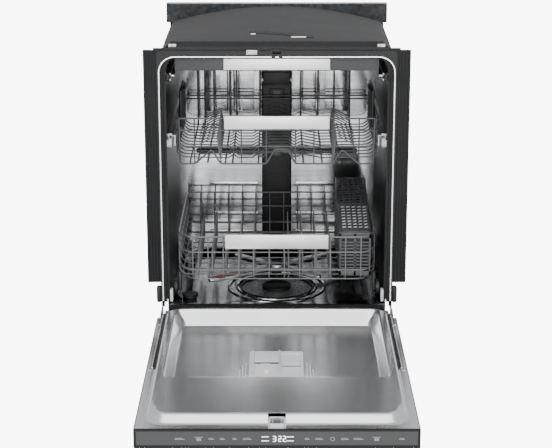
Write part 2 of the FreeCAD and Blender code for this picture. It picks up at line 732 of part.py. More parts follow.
def lower_spray_arm():
    """Cross-shaped steel arm: two blades at a slant to each other, on a hollow hub."""
    z = lower_arm_z
    long_blade = arm_blade(z, long_reach, 20.0, arm_thick, 14.0)
    long_blade.rotate(V(0, arm_centre_y, 0), V(0, 0, 1), long_turn)
    short_blade = arm_blade(z, short_reach, 18.0, arm_thick, 12.0)
    short_blade.rotate(V(0, arm_centre_y, 0), V(0, 0, 1), short_turn)
    hub = rod((0, arm_centre_y, riser_top + 1.0), (0, arm_centre_y, z + 14.0), 2 * riser_r)
    bore = rod((0, arm_centre_y, riser_top), (0, arm_centre_y, z + 6.0), spindle_r + pin_clearance)
    return fused([long_blade, short_blade, hub]).cut(bore)


def middle_spray_arm():
    """Arm that hangs under the upper rack."""
    z = upper_floor_z - 26.0
    blade = arm_blade(z, middle_reach, 20.0, arm_thick + 1.0, 13.0)
    hub = rod((0, arm_centre_y, z - 4.0), (0, arm_centre_y, z + 14.0), 24.0)
    bore = rod((0, arm_centre_y, z + 2.0), (0, arm_centre_y, z + 15.0), spindle_r + pin_clearance)
    return fused([blade, hub]).cut(bore)


def rack_feed_pipe():
    """Pipe under the upper rack that feeds its spray arm from the duct."""
    z = upper_floor_z - 26.0
    spindle = rod((0, arm_centre_y, z + 3.0), (0, arm_centre_y, z + 14.5), spindle_r)
    cap = rod((0, arm_centre_y, z + 14.5), (0, arm_centre_y, upper_floor_z - wire_r), 20.0)
    y1 = duct_front - gap - 2.0
    pipe = block(-14.0, 14.0, arm_centre_y, rack_back - wire_r - 2.0, z + 15.0, upper_floor_z - wire_r - 0.5)
    neck = block(-14.0, 14.0, rack_back - wire_r - 12.0, y1, z + 15.0, upper_floor_z - wire_r - 4.0)
    return fused([spindle, cap, pipe, neck])


def top_spray_arm():
    """Short arm under the ceiling."""
    blade = arm_blade(tub_top - 19.0, top_reach, 16.0, 6.0, 10.0)
    hub = rod((0, arm_centre_y, tub_top - 20.0), (0, arm_centre_y, tub_top - 8.0), 18.0)
    bore = rod((0, arm_centre_y, tub_top - 16.0), (0, arm_centre_y, tub_top - 7.0), 6.0 + pin_clearance)
    return fused([blade, hub]).cut(bore)


def ceiling_run():
    """Flat pipe along the ceiling from the duct to the top arm's spindle."""
    spindle = rod((0, arm_centre_y, tub_top - 15.0), (0, arm_centre_y, tub_top - 7.0), 6.0)
    cap = rod((0, arm_centre_y, tub_top - 7.5), (0, arm_centre_y, tub_top), 16.0)
    run = block(-12.0, 12.0, arm_centre_y, duct_front, tub_top - 7.5, tub_top)
    return [spindle, cap, run]


# ---- rails ----------------------------------------------------------------------------------


def rack_rails():
    """Channels on the tub's side walls that carry the upper and the third rack."""
    rails = []
    lift = upper_rail_z + roller_r
    upper = block(rail_in + 3, tub_half, roller_y + roller_r + 3, tub_back - 8, lift - 3.5, lift + 8.0)
    groove = block(rail_in + 2, tub_half - 4.5, roller_y, tub_back - 20, lift - 0.5, lift + 4.5)
    rails += both_sides(upper.cut(groove))
    third = block(rail_in + 2, tub_half, 22.0, tub_back - 8, third_rail_z - 9, third_rail_z + 9)
    slot = block(rail_in + 1, tub_half - 5, 21.0, tub_back - 20, third_rail_z - 5, third_rail_z + 5)
    rails += both_sides(third.cut(slot))
    stub = rod((rail_in + 8.6, roller_y, upper_rail_z), (tub_half, roller_y, upper_rail_z), stub_r)
    plate = block(tub_half - 3.0, tub_half, roller_y - 8, roller_y + roller_r + 4, upper_rail_z - 8,
                  upper_rail_z + 8)
    rails += both_sides(fused([stub, plate]))
    return group(rails)


def rail_rollers():
    """Front rollers of the upper rack, one each side on the same line."""
    wheel = rod((rail_in + 3.0, roller_y, upper_rail_z), (tub_half - 3.5, roller_y, upper_rail_z), roller_r)
    bore = rod((rail_in + 8.0, roller_y, upper_rail_z), (tub_half, roller_y, upper_rail_z),
               stub_r + pin_clearance)
    return group(both_sides(wheel.cut(bore)))


# ---- racks ----------------------------------------------------------------------------------
def grille_x(x_half, y, z_levels, uprights):
    """Upright wire panel across the unit: horizontal wires joined by verticals."""
    wires = [rod((-x_half, y, z), (x_half, y, z), wire_r if i == 0 else cross_r + 0.2)
             for i, z in enumerate(z_levels)]
    wires += [rod((x, y, min(z_levels)), (x, y, max(z_levels)), cross_r) for x in uprights]
    return fused(wires)


def grille_y(x, y0, y1, z_levels, uprights):
    """Upright wire panel along one side."""
    wires = [rod((x, y0, z), (x, y1, z), wire_r if i == 0 else cross_r + 0.2)
             for i, z in enumerate(z_levels)]
    wires += [rod((x, y, min(z_levels)), (x, y, max(z_levels)), cross_r) for y in uprights]
    return fused(wires)


def grille_floor(x_half, y0, y1, z, across, along):
    """Flat wire panel: frame wires across and lighter wires along the depth."""
    wires = [rod((-x_half, y, z), (x_half, y, z), wire_r) for y in across]
    wires += [rod((x, y0, z), (x, y1, z), cross_r) for x in along]
    return fused(wires)


def lower_rack_basket():
    x, y0, y1 = rack_half, rack_front, rack_back
    inner = x - 12.0
    walls_x = spaced(-x + 22, x - 22, 11)
    walls_y = spaced(y0 + 22, y1 - 22, 9)
    levels = lower_levels
    floor = grille_floor(inner, y0 + 6, y1 - 6, lower_floor_z, spaced(y0 + 12, y1 - 12, 7),
                         spaced(-inner + 6, inner - 6, 13))
    front = grille_x(x - 6, y0, levels + (lower_floor_z + 4,), walls_x)
    back = grille_x(x - 6, y1, levels + (lower_floor_z + 4,), walls_x)
    sides = both_sides(grille_y(x, y0, y1, levels + (lower_floor_z + 4,), walls_y))
    brackets = []
    for y in wheel_rows:
        for side in (-1, 1):
            lug = block(side * x - 4.0, side * x + 4.0, y - 7, y + 7, wheel_z - 7, lower_floor_z + 8)
            stub_x = side * (x + 4.0)
            stub = rod((stub_x, y, wheel_z), (stub_x + side * (wheel_width + 2.0), y, wheel_z), axle_r)
            brackets.append(fused([lug, stub]))
    z = lower_floor_z + wire_r
    rows = [tine_row(tine_x, y0 + 24, y1 - 40, z, lower_tine_height, 13)
            for tine_x in lower_tine_rows]
    return group([floor, front, back] + sides + brackets + rows)


def wheel_pair(y):
    """Two wheels on one line across the lower rack."""
    inner_x = rack_half + 4.0 + gap
    wheel = rod((inner_x, y, wheel_z), (inner_x + wheel_width, y, wheel_z), wheel_r)
    bore = rod((inner_x - 1, y, wheel_z), (inner_x + wheel_width + 1, y, wheel_z), axle_r + pin_clearance)
    return group(both_sides(wheel.cut(bore)))


def lower_front_wheels():
    return wheel_pair(wheel_rows[0])


def lower_rear_wheels():
    return wheel_pair(wheel_rows[1])


def tine_row(x, y0, y1, z, height, count):
    """Row of upright tines on a wire that runs along the depth."""
    base = rod((x, y0, z), (x, y1, z), cross_r + 0.3)
    tines = [rod((x, y, z), (x, y, z + height), cross_r) for y in spaced(y0 + 8, y1 - 8, count)]
    return fused([base] + tines)


def lower_folding_tines():
    """Middle row of tines that folds flat."""
    return tine_row(lower_hinge_x, rack_front + 24, rack_back - 40, lower_tine_z,
                    lower_tine_height + 2.0, 13)


def handle_bar(z0, z1, y):
    """Bright folded bar on the front of a rack."""
    outer = block(-handle_half, handle_half, y - bar_depth, y, z0, z1)
    w, reach = bar_wall, handle_half - 34.0
    inner = block(-handle_half + w, handle_half - w, y - bar_depth + w, y + 1, z0 + w, z1 - w)
    clips = [block(x - 6, x + 6, y - bar_depth + w, y, z0 + w, z1 - w) for x in (-reach, 0.0, reach)]
    return fused([outer.cut(inner)] + clips)


def lower_rack_handle():
    return handle_bar(*lower_bar, rack_front - wire_r - 0.4)


def upper_rack_handle():
    return handle_bar(*upper_bar, rack_front - wire_r - 0.4)


def cutlery_basket():
    """Perforated basket with a floor, four walls and three cross walls."""
    x0, x1, y0, y1, z0, z1 = basket_x0, basket_x1, basket_y0, basket_y1, basket_z0, basket_z1
    w = basket_wall
    high = z1 + basket_rise
    shell = block(x0, x1, y0, y1, z0, high).cut(block(x0 + w, x1 - w, y0 + w, y1 - w, z0 + w, high + 1))
    walls = [block(x0 + w, x1 - w, y - 1.0, y + 1.0, z0 + w, z1 - 14.0)
             for y in spaced(y0, y1, basket_cells + 1)[1:-1]]
    above = sloped_slab(x0 - 5, x1 + 5, y0 - 5, y1 + 5, 0.0, 3 * basket_rise)
    shell = fused([shell] + walls).cut(above)
    slots = []
    for z in spaced(z0 + 14, z1 - 24, 6):
        slots.append(block(x0 + 10, x1 - 10, y0 - 1, y0 + w + 1, z, z + 6))
        slots.append(block(x0 + 10, x1 - 10, y1 - w - 1, y1 + 1, z, z + 6))
        for cell in spaced(y0, y1, basket_cells + 1)[:-1]:
            slots.append(block(x0 - 1, x1 + 1, cell + 10, cell + 70, z, z + 6))
    return shell.cut(Part.makeCompound(slots))


def sloped_slab(x0, x1, y0, y1, low, high):
    """Slab parallel to the basket's sloping top, from low to high above it."""
    slab = block(x0, x1, y0, y1, basket_z1 + low, basket_z1 + high)
    slab.rotate(V(0, basket_y0, basket_z1), V(1, 0, 0), basket_slope())
    return slab


def basket_slope():
    """Angle of the basket's top in degrees."""
    return math.degrees(math.atan2(basket_rise, basket_y1 - basket_y0))


def cutlery_lids():
    """Two perforated lids hinged along the basket's inner edge."""
    lids = []
    mid = (basket_y0 + basket_y1) / 2
    z = basket_z1 + lid_gap
    for y0, y1 in ((basket_y0 + 1, mid - 1), (mid + 1, basket_y1 - 1)):
        plate = block(basket_x0 + 2, basket_x1 - 1, y0, y1, z, z + lid_wall)
        barrel = rod((lid_hinge_x, y0, z + lid_barrel_r), (lid_hinge_x, y1, z + lid_barrel_r), lid_barrel_r)
        lid = fused([plate, barrel])
        holes = [block(x - 4, x + 4, y - 5, y + 5, z - 1, z + 4) for x in spaced(basket_x0 + 16, basket_x1 - 12, 5)
                 for y in spaced(y0 + 12, y1 - 12, 9)]
        lid = lid.cut(Part.makeCompound(holes))
        lid.rotate(V(0, basket_y0, basket_z1), V(1, 0, 0), basket_slope())
        lids.append(lid)
    return group(lids)


def upper_rack_basket():
    x, y0, y1 = rack_half, rack_front, rack_back
    inner = x - 14.0
    walls_x = spaced(-x + 26, x - 26, 11)
    walls_y = spaced(y0 + 22, y1 - 22, 9)
    levels = upper_levels
    floor = grille_floor(inner, y0 + 6, y1 - 6, upper_floor_z, spaced(y0 + 12, y1 - 12, 7),
                         spaced(-inner + 8, inner - 8, 13))
    front = grille_x(x - 6, y0, levels + (upper_floor_z + 4,), walls_x)
    back = grille_x(x - 6, y1, upper_back_levels, walls_x)
    sides = both_sides(grille_y(x, y0, y1, levels + (upper_floor_z + 4,), walls_y))
    return group([floor, front, back] + sides)


def rack_sliders():
    """Steel runners on the upper rack's sides that ride in the rails and over the rollers."""
    x0 = rack_half + wire_r + gap
    z0 = upper_rail_z + roller_r + wheel_clear
    bar = block(x0, x0 + 2.5, rack_front + 24, rack_back - 4, z0 - 24.0, z0 + 2.4)
    tongue = block(x0, rail_in + 9.0, rack_front + 24, rack_back - 4, z0, z0 + 2.4)
    return group(both_sides(fused([bar, tongue])))


def rack_adjusters():
    """Grip levers that release the upper rack to change its height."""
    x1 = rack_half - cross_r - 1.4
    body = block(x1 - 8, x1, adjuster_y0, adjuster_y1, adjuster_z0, adjuster_z1)
    grip = block(x1 - 14, x1 - 8, adjuster_y0 + 30, adjuster_y1 - 30, adjuster_z1 - 14.0, adjuster_z1 - 2.0)
    return group(both_sides(fused([body, grip])))


def folding_tines(side):
    """Row of cup tines at one side of the upper rack; each rises to a peak and slopes down outwards."""
    x = side * upper_tine_x
    y0, y1 = rack_front + 30, rack_back - 60
    base = rod((x, y0, upper_tine_z), (x, y1, upper_tine_z), cross_r + 0.3)
    tines = []
    for y in spaced(y0 + 8, y1 - 8, 12):
        peak = (x + side * peak_lean, y, upper_tine_z + peak_rise)
        tines.append(rod((x, y, upper_tine_z), peak, cross_r))
        tines.append(rod(peak, (x + side * wing_lean, y, upper_tine_z + wing_rise), cross_r))
        tines.append(Part.makeSphere(cross_r, V(*peak)))
    return fused([base] + tines)


def upper_left_tines():
    return folding_tines(-1)


def upper_right_tines():
    return folding_tines(1)


def third_rack_basket():
    """Shallow tray: wire floor, low wire walls, a solid front panel and runners under its sides."""
    x, y0, y1, low = rack_half, rack_front, rack_back, third_floor_z
    floor = grille_floor(x - 10, y0 + 6, y1 - 6, low, spaced(y0 + 12, y1 - 12, 6), spaced(-x + 20, x - 20, 15))
    walls_x = spaced(-x + 24, x - 24, 9)
    back = grille_x(x - 4, y1, (third_top_z, low + 3), walls_x)
    front = grille_x(x - 4, y0 + gap, (third_top_z, low + 3), walls_x)
    panel = block(-x, x, y0 - panel_sheet, y0, *third_panel)
    sides = both_sides(grille_y(x, y0 + 4, y1, (third_top_z, low + 3, third_rail_z),
                                spaced(y0 + 24, y1 - 24, 9)))
    runner = block(x + wire_r - 0.4, rail_in + 7.0, y0 + 10, y1 - 10, third_rail_z - 2.5, third_rail_z + 2.5)
    return group([floor, back, front.fuse(panel)] + sides + both_sides(runner))


def third_rack_handle():
    return handle_bar(*third_bar, rack_front - panel_sheet)


# ---- door -----------------------------------------------------------------------------------
def corner_notches():
    """Room at the hinge end of the door for the hinge plates."""
    return both_sides(block(notch_half, door_half + 1, door_far - notch_len, door_far + 5,
                            door_under - 5, flange_z + 20))


def door_outer_panel():
    """Folded steel tray that forms the outside of the door."""
    half = door_half
    outer = block(-half, half, door_near, door_far, door_under, flange_z - liner_sheet)
    s = door_sheet
    inner = block(-half + s, half - s, door_near + s, door_far - s, door_under + s, flange_z)
    slots = corner_notches()
    return outer.cut(inner).cut(slots[0]).cut(slots[1])


def liner_skin(drop):
    """Solid under the liner's upper surface, lowered by drop."""
    half = door_half
    low = 100.0
    base = block(-half, half, door_near, door_far, low, flange_z)
    foot = ridge_half + ridge_foot
    ridge = frustum(rounded_outline(-foot, foot, rim_near, ridge_far + ridge_foot, flange_z - 0.01, 52),
                    rounded_outline(-ridge_half, ridge_half, ridge_near, ridge_far,
                                    flange_z + ridge_rise, 40))
    recess = frustum(rounded_outline(-recess_floor_half, recess_floor_half, recess_floor_near,
                                     recess_floor_far, liner_floor_z, 12),
                     rounded_outline(-recess_half, recess_half, recess_near, recess_far,
                                     flange_z + ridge_rise + 0.01, 16))
    body = base.fuse(ridge).cut(recess)
    body.translate(V(0, 0, -drop))
    return body


def door_liner():
    """Formed stainless inner door."""
    sheet = liner_skin(0.0).cut(liner_skin(liner_sheet))
    for slot in corner_notches():
        sheet = sheet.cut(slot)
    hole = block(disp_x0 + 3, disp_x1 - 3, disp_y0 + 3, disp_y1 - 3, liner_floor_z - 5, liner_floor_z + 5)
    sheet = sheet.cut(hole).cut(block(-door_width, door_width, door_near - 50, door_far + 50, 80.0,
                                      liner_floor_z - liner_sheet - 0.001))
    latch = block(-latch_half, latch_half, latch_y0, latch_y1, flange_z - 20, flange_z + 20)
    return sheet.cut(latch)


def control_panel():
    """Dark end cap of the door that carries the controls."""
    half = door_half
    face, edge = door_near - strip_depth, strip_edge
    cap = block(-half, half, face, door_near, strip_low, flange_z)
    pocket = block(-half + edge, half - edge, face - 1, face + strip_glass, strip_low + 4, flange_z - 4)
    foot = block(-half, half, face, door_near, door_under, strip_low)
    return fused([cap.cut(pocket), foot])


def touch_display():
    """Glossy lens with the display and the touch keys, and the board behind it."""
    half = door_half
    face, edge = door_near - strip_depth, strip_edge
    lens = block(-half + edge, half - edge, face - 0.2, face + strip_glass, strip_low + 4, flange_z - 4)
    return group([lens, control_board()])


def control_board():
    """Circuit board behind the control panel, with its relays and power supply."""
    top = board_z + board_sheet
    board = block(-board_half, board_half, door_near + 6, door_near + 42, board_z, top)
    parts = [block(x - 12, x + 12, door_near + 12, door_near + 30, top, top + 12.4)
             for x in spaced(30.0 - board_half, board_half - 30.0, 4)]
    return fused([board] + parts)


def door_handle():
    """Round bar on two posts, on the outside of the door."""
    z = door_under - handle_drop
    bar = rod((-handle_reach, handle_y, z), (handle_reach, handle_y, z), handle_r)
    posts = [rod((x, handle_y, z), (x, handle_y, door_under), handle_post_r)
             for x in (-handle_post_x, handle_post_x)]
    return fused([bar] + posts)


def latch_housing():
    """Grey plastic block let into the free end of the liner."""
    top, wall = flange_z + latch_rise, latch_wall
    body = block(-latch_half, latch_half, latch_y0, latch_y1, flange_z - latch_depth, top)
    mouth = block(-latch_half + wall, latch_half - wall, latch_y0 + wall, latch_y1 - wall,
                  flange_z - latch_depth + 4.0, top + 1)
    bore = rod((-latch_half - 1, latch_axis_y, latch_axis_z), (latch_half + 1, latch_axis_y, latch_axis_z),
               latch_pin_r + pin_clearance)
    return body.cut(mouth).cut(bore)


def latch_claw():
    """Claw that grips the strike, turning on its own cross pin."""
    y, z, end, top = latch_axis_y, latch_axis_z, latch_half - 2.0, flange_z + latch_rise
    pivot = rod((-end, y, z), (end, y, z), latch_pin_r)
    arm = block(-claw_half, claw_half, y - 3.0, y + 3.0, z, top)
    hook = block(-claw_half, claw_half, y - 3.0, y + 6.0, top - 4.0, top)
    return fused([pivot, arm, hook])


def dispenser_body():
    """Moulded dispenser let into the liner, with the detergent cup and the rinse-aid tank."""
    z0, z1, lap = liner_floor_z - liner_sheet - disp_depth, disp_face, disp_lap
    body = block(disp_x0 + lap, disp_x1 - lap, disp_y0 + lap, disp_y1 - lap, z0, z1)
    rim = block(disp_x0, disp_x1, disp_y0, disp_y1, liner_floor_z + 0.2, z1)
    body = body.fuse(rim)
    cup = block(cup_x0, cup_x1, cup_y0, cup_y1, z0 + 2, z1 + 1)
    tank = block(tank_x0, tank_x1, tank_y0, tank_y1, z0 + 2, z1 + 1)
    guides = [block(cup_x0 - 5, cup_x0 - 2, disp_y0 + 6, disp_y1 - 6, z1, disp_top + 1.5),
              block(cup_x1 + 1.5, cup_x1 + 4.5, disp_y0 + 6, disp_y1 - 6, z1, disp_top + 1.5)]
    button_well = rod((button_x, button_y, z0 + 4), (button_x, button_y, z1 + 5), button_r + gap)
    return body.fuse(guides).removeSplitter().cut(cup).cut(tank).cut(button_well)


def detergent_lid():
    """Sliding lid over the detergent cup."""
    z1 = disp_face
    lid = block(cup_x0 - 1.5, cup_x1 + 1.0, cup_y0 - 4, cup_y1 + 6, z1 + gap, z1 + gap + lid_sheet)
    thumb = block(cup_x0 + 16, cup_x1 - 16, cup_y0, cup_y0 + 5, z1 + gap + lid_sheet,
                  z1 + gap + 2 * lid_sheet)
    return fused([lid, thumb])


def rinse_aid_lid():
    """Square flap over the rinse-aid filler, hinged along its far edge."""
    z1 = disp_face
    flap = block(tank_x0 - 4, tank_x1 + 4, tank_y0 - 6, tank_y1 + 4, z1 + 0.4, z1 + 3.2)
    barrel = rod((tank_x0 - 4, tank_y1 + 6, z1 + 2.8), (tank_x1 + 4, tank_y1 + 6, z1 + 2.8), 2.2)
    return fused([flap, barrel])


def lid_button():
    """Round release button of the detergent lid."""
    z1 = disp_face
    cap = rod((button_x, button_y, z1 - 5.0), (button_x, button_y, z1 + 4.0), button_r)
    return cap


def liner_screws():
    """Screw heads that hold the liner to the hinge arms."""
    heads = []
    for y in screw_rows:
        heads += both_sides(rod((screw_x, y, flange_z), (screw_x, y, flange_z + 2.0), screw_r))
    return heads


def hinge_arms():
    """Steel arms along the sides of the door that turn on the hinge pins."""
    x0, x1 = notch_half + gap + 1.0, bracket_in - gap - 1.0
    bar = block(x0, x1, hinge_y - hinge_arm_len, hinge_y, hinge_z - 9, hinge_z + 7)
    eye = rod((x0, hinge_y, hinge_z), (x1, hinge_y, hinge_z), hinge_eye_r)
    bore = rod((x0 - 1, hinge_y, hinge_z), (x1 + 1, hinge_y, hinge_z), hinge_pin_r + pin_clearance)
    return group(both_sides(fused([bar, eye]).cut(bore)) + liner_screws())


# ---- all sub-parts --------------------------------------------------------------------------
NODES = [
    tub_wrapper, tub_back_wall, tub_floor, front_frame, strike_box, mouth_trim, tub_gasket,
    insulation_blanket, side_seals, rear_bracket, cabinet_clips, base_tray, side_frames, kick_plate,
    leveling_feet, door_springs, sump, filter_plate, filter_cup, circulation_pump, pump_impeller,
    drain_pump, drain_nozzle, inlet_valve, junction_box, float_dome, water_duct, lower_spray_arm,
    middle_spray_arm, rack_feed_pipe, top_spray_arm, rack_rails, rail_rollers,
    lower_rack_basket, lower_front_wheels, lower_rear_wheels, lower_folding_tines, lower_rack_handle,
    cutlery_basket, cutlery_lids, upper_rack_basket, rack_sliders, rack_adjusters, upper_left_tines,
    upper_right_tines, upper_rack_handle, third_rack_basket, third_rack_handle,
    door_outer_panel, door_liner, control_panel, touch_display, door_handle, latch_housing, latch_claw,
    dispenser_body, detergent_lid, rinse_aid_lid, lid_button, hinge_arms,
]


def main():
    os.makedirs("parts", exist_ok=True)
    for maker in NODES:
        shape = maker()
        name = maker.__name__
        shape.exportStep(os.path.join("parts", name + ".step"))
        box = shape.BoundBox
        print("%-20s solids %2d valid %s  x %.0f..%.0f y %.0f..%.0f z %.0f..%.0f" % (
            name, len(shape.Solids), shape.isValid(), box.XMin, box.XMax, box.YMin, box.YMax,
            box.ZMin, box.ZMax))


main()
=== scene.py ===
"""Looks of a built-in dishwasher with its door lying open, built round the fixed CAD frame.

Each sub-assembly is a class: its fields are the sizes in millimetres and its methods build the
pieces and give them their finishes. All places are in the CAD frame: X right, Y back, Z up.
"""
import logging
import math
from dataclasses import dataclass
from enum import Enum
from typing import Iterable, Sequence

import bmesh
import bpy
from mathutils import Matrix, Vector, noise


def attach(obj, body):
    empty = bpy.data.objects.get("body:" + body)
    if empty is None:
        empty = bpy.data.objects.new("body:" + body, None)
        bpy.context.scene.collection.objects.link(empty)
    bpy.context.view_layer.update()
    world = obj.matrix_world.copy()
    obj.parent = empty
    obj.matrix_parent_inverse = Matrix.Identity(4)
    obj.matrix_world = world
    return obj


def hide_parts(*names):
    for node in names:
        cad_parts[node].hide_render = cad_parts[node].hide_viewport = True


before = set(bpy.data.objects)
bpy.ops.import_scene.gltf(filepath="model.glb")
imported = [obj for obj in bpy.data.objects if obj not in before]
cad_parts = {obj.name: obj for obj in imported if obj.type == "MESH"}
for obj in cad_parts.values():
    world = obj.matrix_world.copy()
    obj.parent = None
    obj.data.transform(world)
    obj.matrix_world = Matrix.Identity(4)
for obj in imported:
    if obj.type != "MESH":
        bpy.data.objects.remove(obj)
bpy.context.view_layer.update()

MM = 0.001
Point = Sequence[float]
Pair = tuple[float, float]
Socket = bpy.types.NodeSocket
log = logging.getLogger("dishwasher")


# ---- node and colour helpers ---------------------------
def linear(colour: str) -> tuple[float, float, float, float]:
    """Turns an sRGB hex colour into the linear values that sockets take.

    Args:
        colour: six hex digits.

    Returns:
        Red, green, blue and an alpha of one.
    """
    parts = [int(colour[i:i + 2], 16) / 255 for i in (0, 2, 4)]
    low = [c / 12.92 if c <= 0.04045 else ((c + 0.055) / 1.055) ** 2.4 for c in parts]
    return (low[0], low[1], low[2], 1.0)


def add(tree: bpy.types.NodeTree, kind: str, settings: dict | None = None,
        links: dict | None = None) -> bpy.types.Node:
    """Adds one node to a material.

    Args:
        tree: the material's node tree.
        kind: the node's type without its ShaderNode prefix.
        settings: properties or socket values by name.
        links: output sockets by the name or number of the input that they feed.

    Returns:
        The new node.
    """
    node = tree.nodes.new("ShaderNode" + kind)
    for key, value in (settings or {}).items():
        if isinstance(key, str) and hasattr(node, key):
            setattr(node, key, value)
        else:
            node.inputs[key].default_value = value
    for key, source in (links or {}).items():
        tree.links.new(source, node.inputs[key])
    return node


class Grain(Enum):
    """How far a metal's lines run along X, Y and Z, as a share of their spacing."""

    ACROSS = (40.0, 1.0, 1.0)
    DEEP = (1.0, 40.0, 1.0)
    UPRIGHT = (1.0, 1.0, 40.0)
    NONE = (3.333, 3.333, 3.333)


@dataclass
class Surface:
    """A material being dressed: its nodes, its shader and the place that its patterns read."""

    tree: bpy.types.NodeTree
    shader: bpy.types.Node
    place: Socket

    def set(self, values: dict) -> None:
        """Sets inputs of the shader by name."""
        for key, value in values.items():
            self.shader.inputs[key].default_value = value

    def noise(self, size_mm: Point | float, detail: float, distortion: float = 0.0) -> Socket:
        """Adds a cloudy pattern.

        Args:
            size_mm: size of its patches, one value or one for each axis.
            detail: how many finer layers lie over it.
            distortion: how far it is stirred.

        Returns:
            Its value from 0 to 1.
        """
        place, scale = self.place, 1.0
        if isinstance(size_mm, float):
            scale = 1.0 / (size_mm * MM)
        else:
            place = add(self.tree, "Mapping", {"Scale": [1.0 / (s * MM) for s in size_mm]},
                        {"Vector": place}).outputs[0]
        made = add(self.tree, "TexNoise", {"Scale": scale, "Detail": detail, "Distortion": distortion},
                   {"Vector": place})
        return made.outputs[0]

    def cells(self, size_mm: float, disorder: float = 1.0) -> bpy.types.Node:
        """Returns a pattern of cells of the given size, square when the disorder is 0."""
        return add(self.tree, "TexVoronoi", {"Scale": 1.0 / (size_mm * MM), "Randomness": disorder},
                   {"Vector": self.place})

    def blend(self, first: Socket, second: Socket,
              share: float) -> Socket:
        """Returns two patterns mixed, with the share of the second."""
        made = add(self.tree, "Mix", {"data_type": "FLOAT", "Factor": share}, {2: first, 3: second})
        return made.outputs[0]

    def tones(self, finish: "Finish", level: Socket, spread: float) -> None:
        """Lets a pattern move the colour between the finish's two tones, and the roughness.

        Args:
            finish: the finish.
            level: pattern value from 0 to 1.
            spread: how far the roughness moves each way.
        """
        mix = add(self.tree, "Mix", {"data_type": "RGBA", 6: linear(finish.colour), 7: linear(finish.second)},
                  {"Factor": level})
        self.tree.links.new(mix.outputs[2], self.shader.inputs["Base Color"])
        rough = add(self.tree, "MapRange", {"To Min": finish.roughness - spread,
                                            "To Max": finish.roughness + spread}, {"Value": level})
        self.tree.links.new(rough.outputs[0], self.shader.inputs["Roughness"])

    def emboss(self, height: Socket, depth_mm: float, strength: float) -> None:
        """Raises the surface by a pattern of the given depth, of which a share shows."""
        bump = add(self.tree, "Bump", {"Strength": strength, "Distance": depth_mm * MM}, {"Height": height})
        self.tree.links.new(bump.outputs[0], self.shader.inputs["Normal"])


@dataclass(frozen=True)
class Finish:
    """One real material with the way its surface was made."""

    label: str
    slot: str
    colour: str
    second: str
    roughness: float

    def material(self) -> bpy.types.Material:
        """Returns the material, made on its first use."""
        made = bpy.data.materials.get(self.label)
        if not made:
            made = bpy.data.materials.new(self.label)
            made.use_nodes = True
            tree = made.node_tree
            surface = Surface(tree, tree.nodes["Principled BSDF"], add(tree, "TexCoord").outputs["Object"])
            surface.set({"Roughness": self.roughness})
            self.dress(surface)
        return made

    def dress(self, surface: Surface) -> None:
        """Adds the pattern nodes; each kind of finish has its own."""
        raise NotImplementedError


@dataclass(frozen=True)
class Sheet(Finish):
    """Steel sheet: brushed, rolled or polished, with fine lines along its grain."""

    grain: Grain = Grain.ACROSS
    line_mm: float = 1.6      # real lines are near 0.2 mm; drawn coarser so that they show
    depth_mm: float = 0.02
    spread: float = 0.05
    metallic: float = 1.0
    mirror: float = 0.5       # share of the clear reflection over the metal's own
    patch_mm: float = 111.11

    def dress(self, surface: Surface) -> None:
        """Lines along the grain, and broad soft patches from rolling."""
        surface.set({"Metallic": self.metallic, "Specular IOR Level": self.mirror})
        lines = surface.noise([self.line_mm * run for run in self.grain.value], 3.0)
        surface.tones(self, surface.blend(lines, surface.noise(self.patch_mm, 2.0), 0.4), self.spread)
        surface.emboss(lines, self.depth_mm, 0.5)


@dataclass(frozen=True)
class Zinc(Finish):
    """Hot-dip galvanised sheet with its spangle."""

    spangle_mm: float = 9.0

    def dress(self, surface: Surface) -> None:
        """Flat crystals of two tones."""
        surface.set({"Metallic": 1.0})
        split = add(surface.tree, "SeparateColor", links={0: surface.cells(self.spangle_mm).outputs["Color"]})
        surface.tones(self, split.outputs[0], 0.08)
        surface.emboss(split.outputs[1], 0.03, 0.4)


@dataclass(frozen=True)
class Polymer(Finish):
    """Moulded plastic, rubber or a plastic coat: fine texture and slight mottling."""

    grain_mm: float = 1.4     # real spark-eroded texture is near 0.3 mm; drawn coarser so that it shows
    depth_mm: float = 0.05
    gloss: float = 0.0
    ior: float = 1.5
    patch_mm: float = 71.43

    def dress(self, surface: Surface) -> None:
        """Fine grain for the relief, broad patches for the colour."""
        surface.set({"IOR": self.ior, "Coat Weight": self.gloss, "Coat Roughness": 0.15})
        surface.tones(self, surface.noise(self.patch_mm, 4.0), 0.06)
        surface.emboss(surface.noise(self.grain_mm, 2.0), self.depth_mm, 0.35)


@dataclass(frozen=True)
class Fleece(Finish):
    """Needled felt over bitumen: short fibres, matted patches and a soft sheen."""

    fibre_mm: float = 2.2     # real fibres are near 0.03 mm; drawn as tufts
    patch_mm: float = 142.86

    def dress(self, surface: Surface) -> None:
        """Tufts, patches and sheen."""
        surface.set({"Sheen Weight": 0.08, "IOR": 1.25, "Sheen Roughness": 0.6})
        tufts = surface.noise(self.fibre_mm, 5.0, 1.2)
        surface.tones(self, surface.blend(tufts, surface.noise(self.patch_mm, 3.0), 0.5), 0.05)
        surface.emboss(tufts, 0.6, 0.5)


@dataclass(frozen=True)
class Woven(Finish):
    """Fine filter mesh: a square weave of steel wire."""

    pitch_mm: float = 2.4     # real pitch is near 0.5 mm; drawn coarser so that it shows

    def dress(self, surface: Surface) -> None:
        """Cells of the weave, darker in their middles."""
        surface.set({"Metallic": 0.9})
        weave = surface.cells(self.pitch_mm, 0.0).outputs["Distance"]
        surface.tones(self, weave, 0.05)
        surface.emboss(weave, 0.4, 0.7)


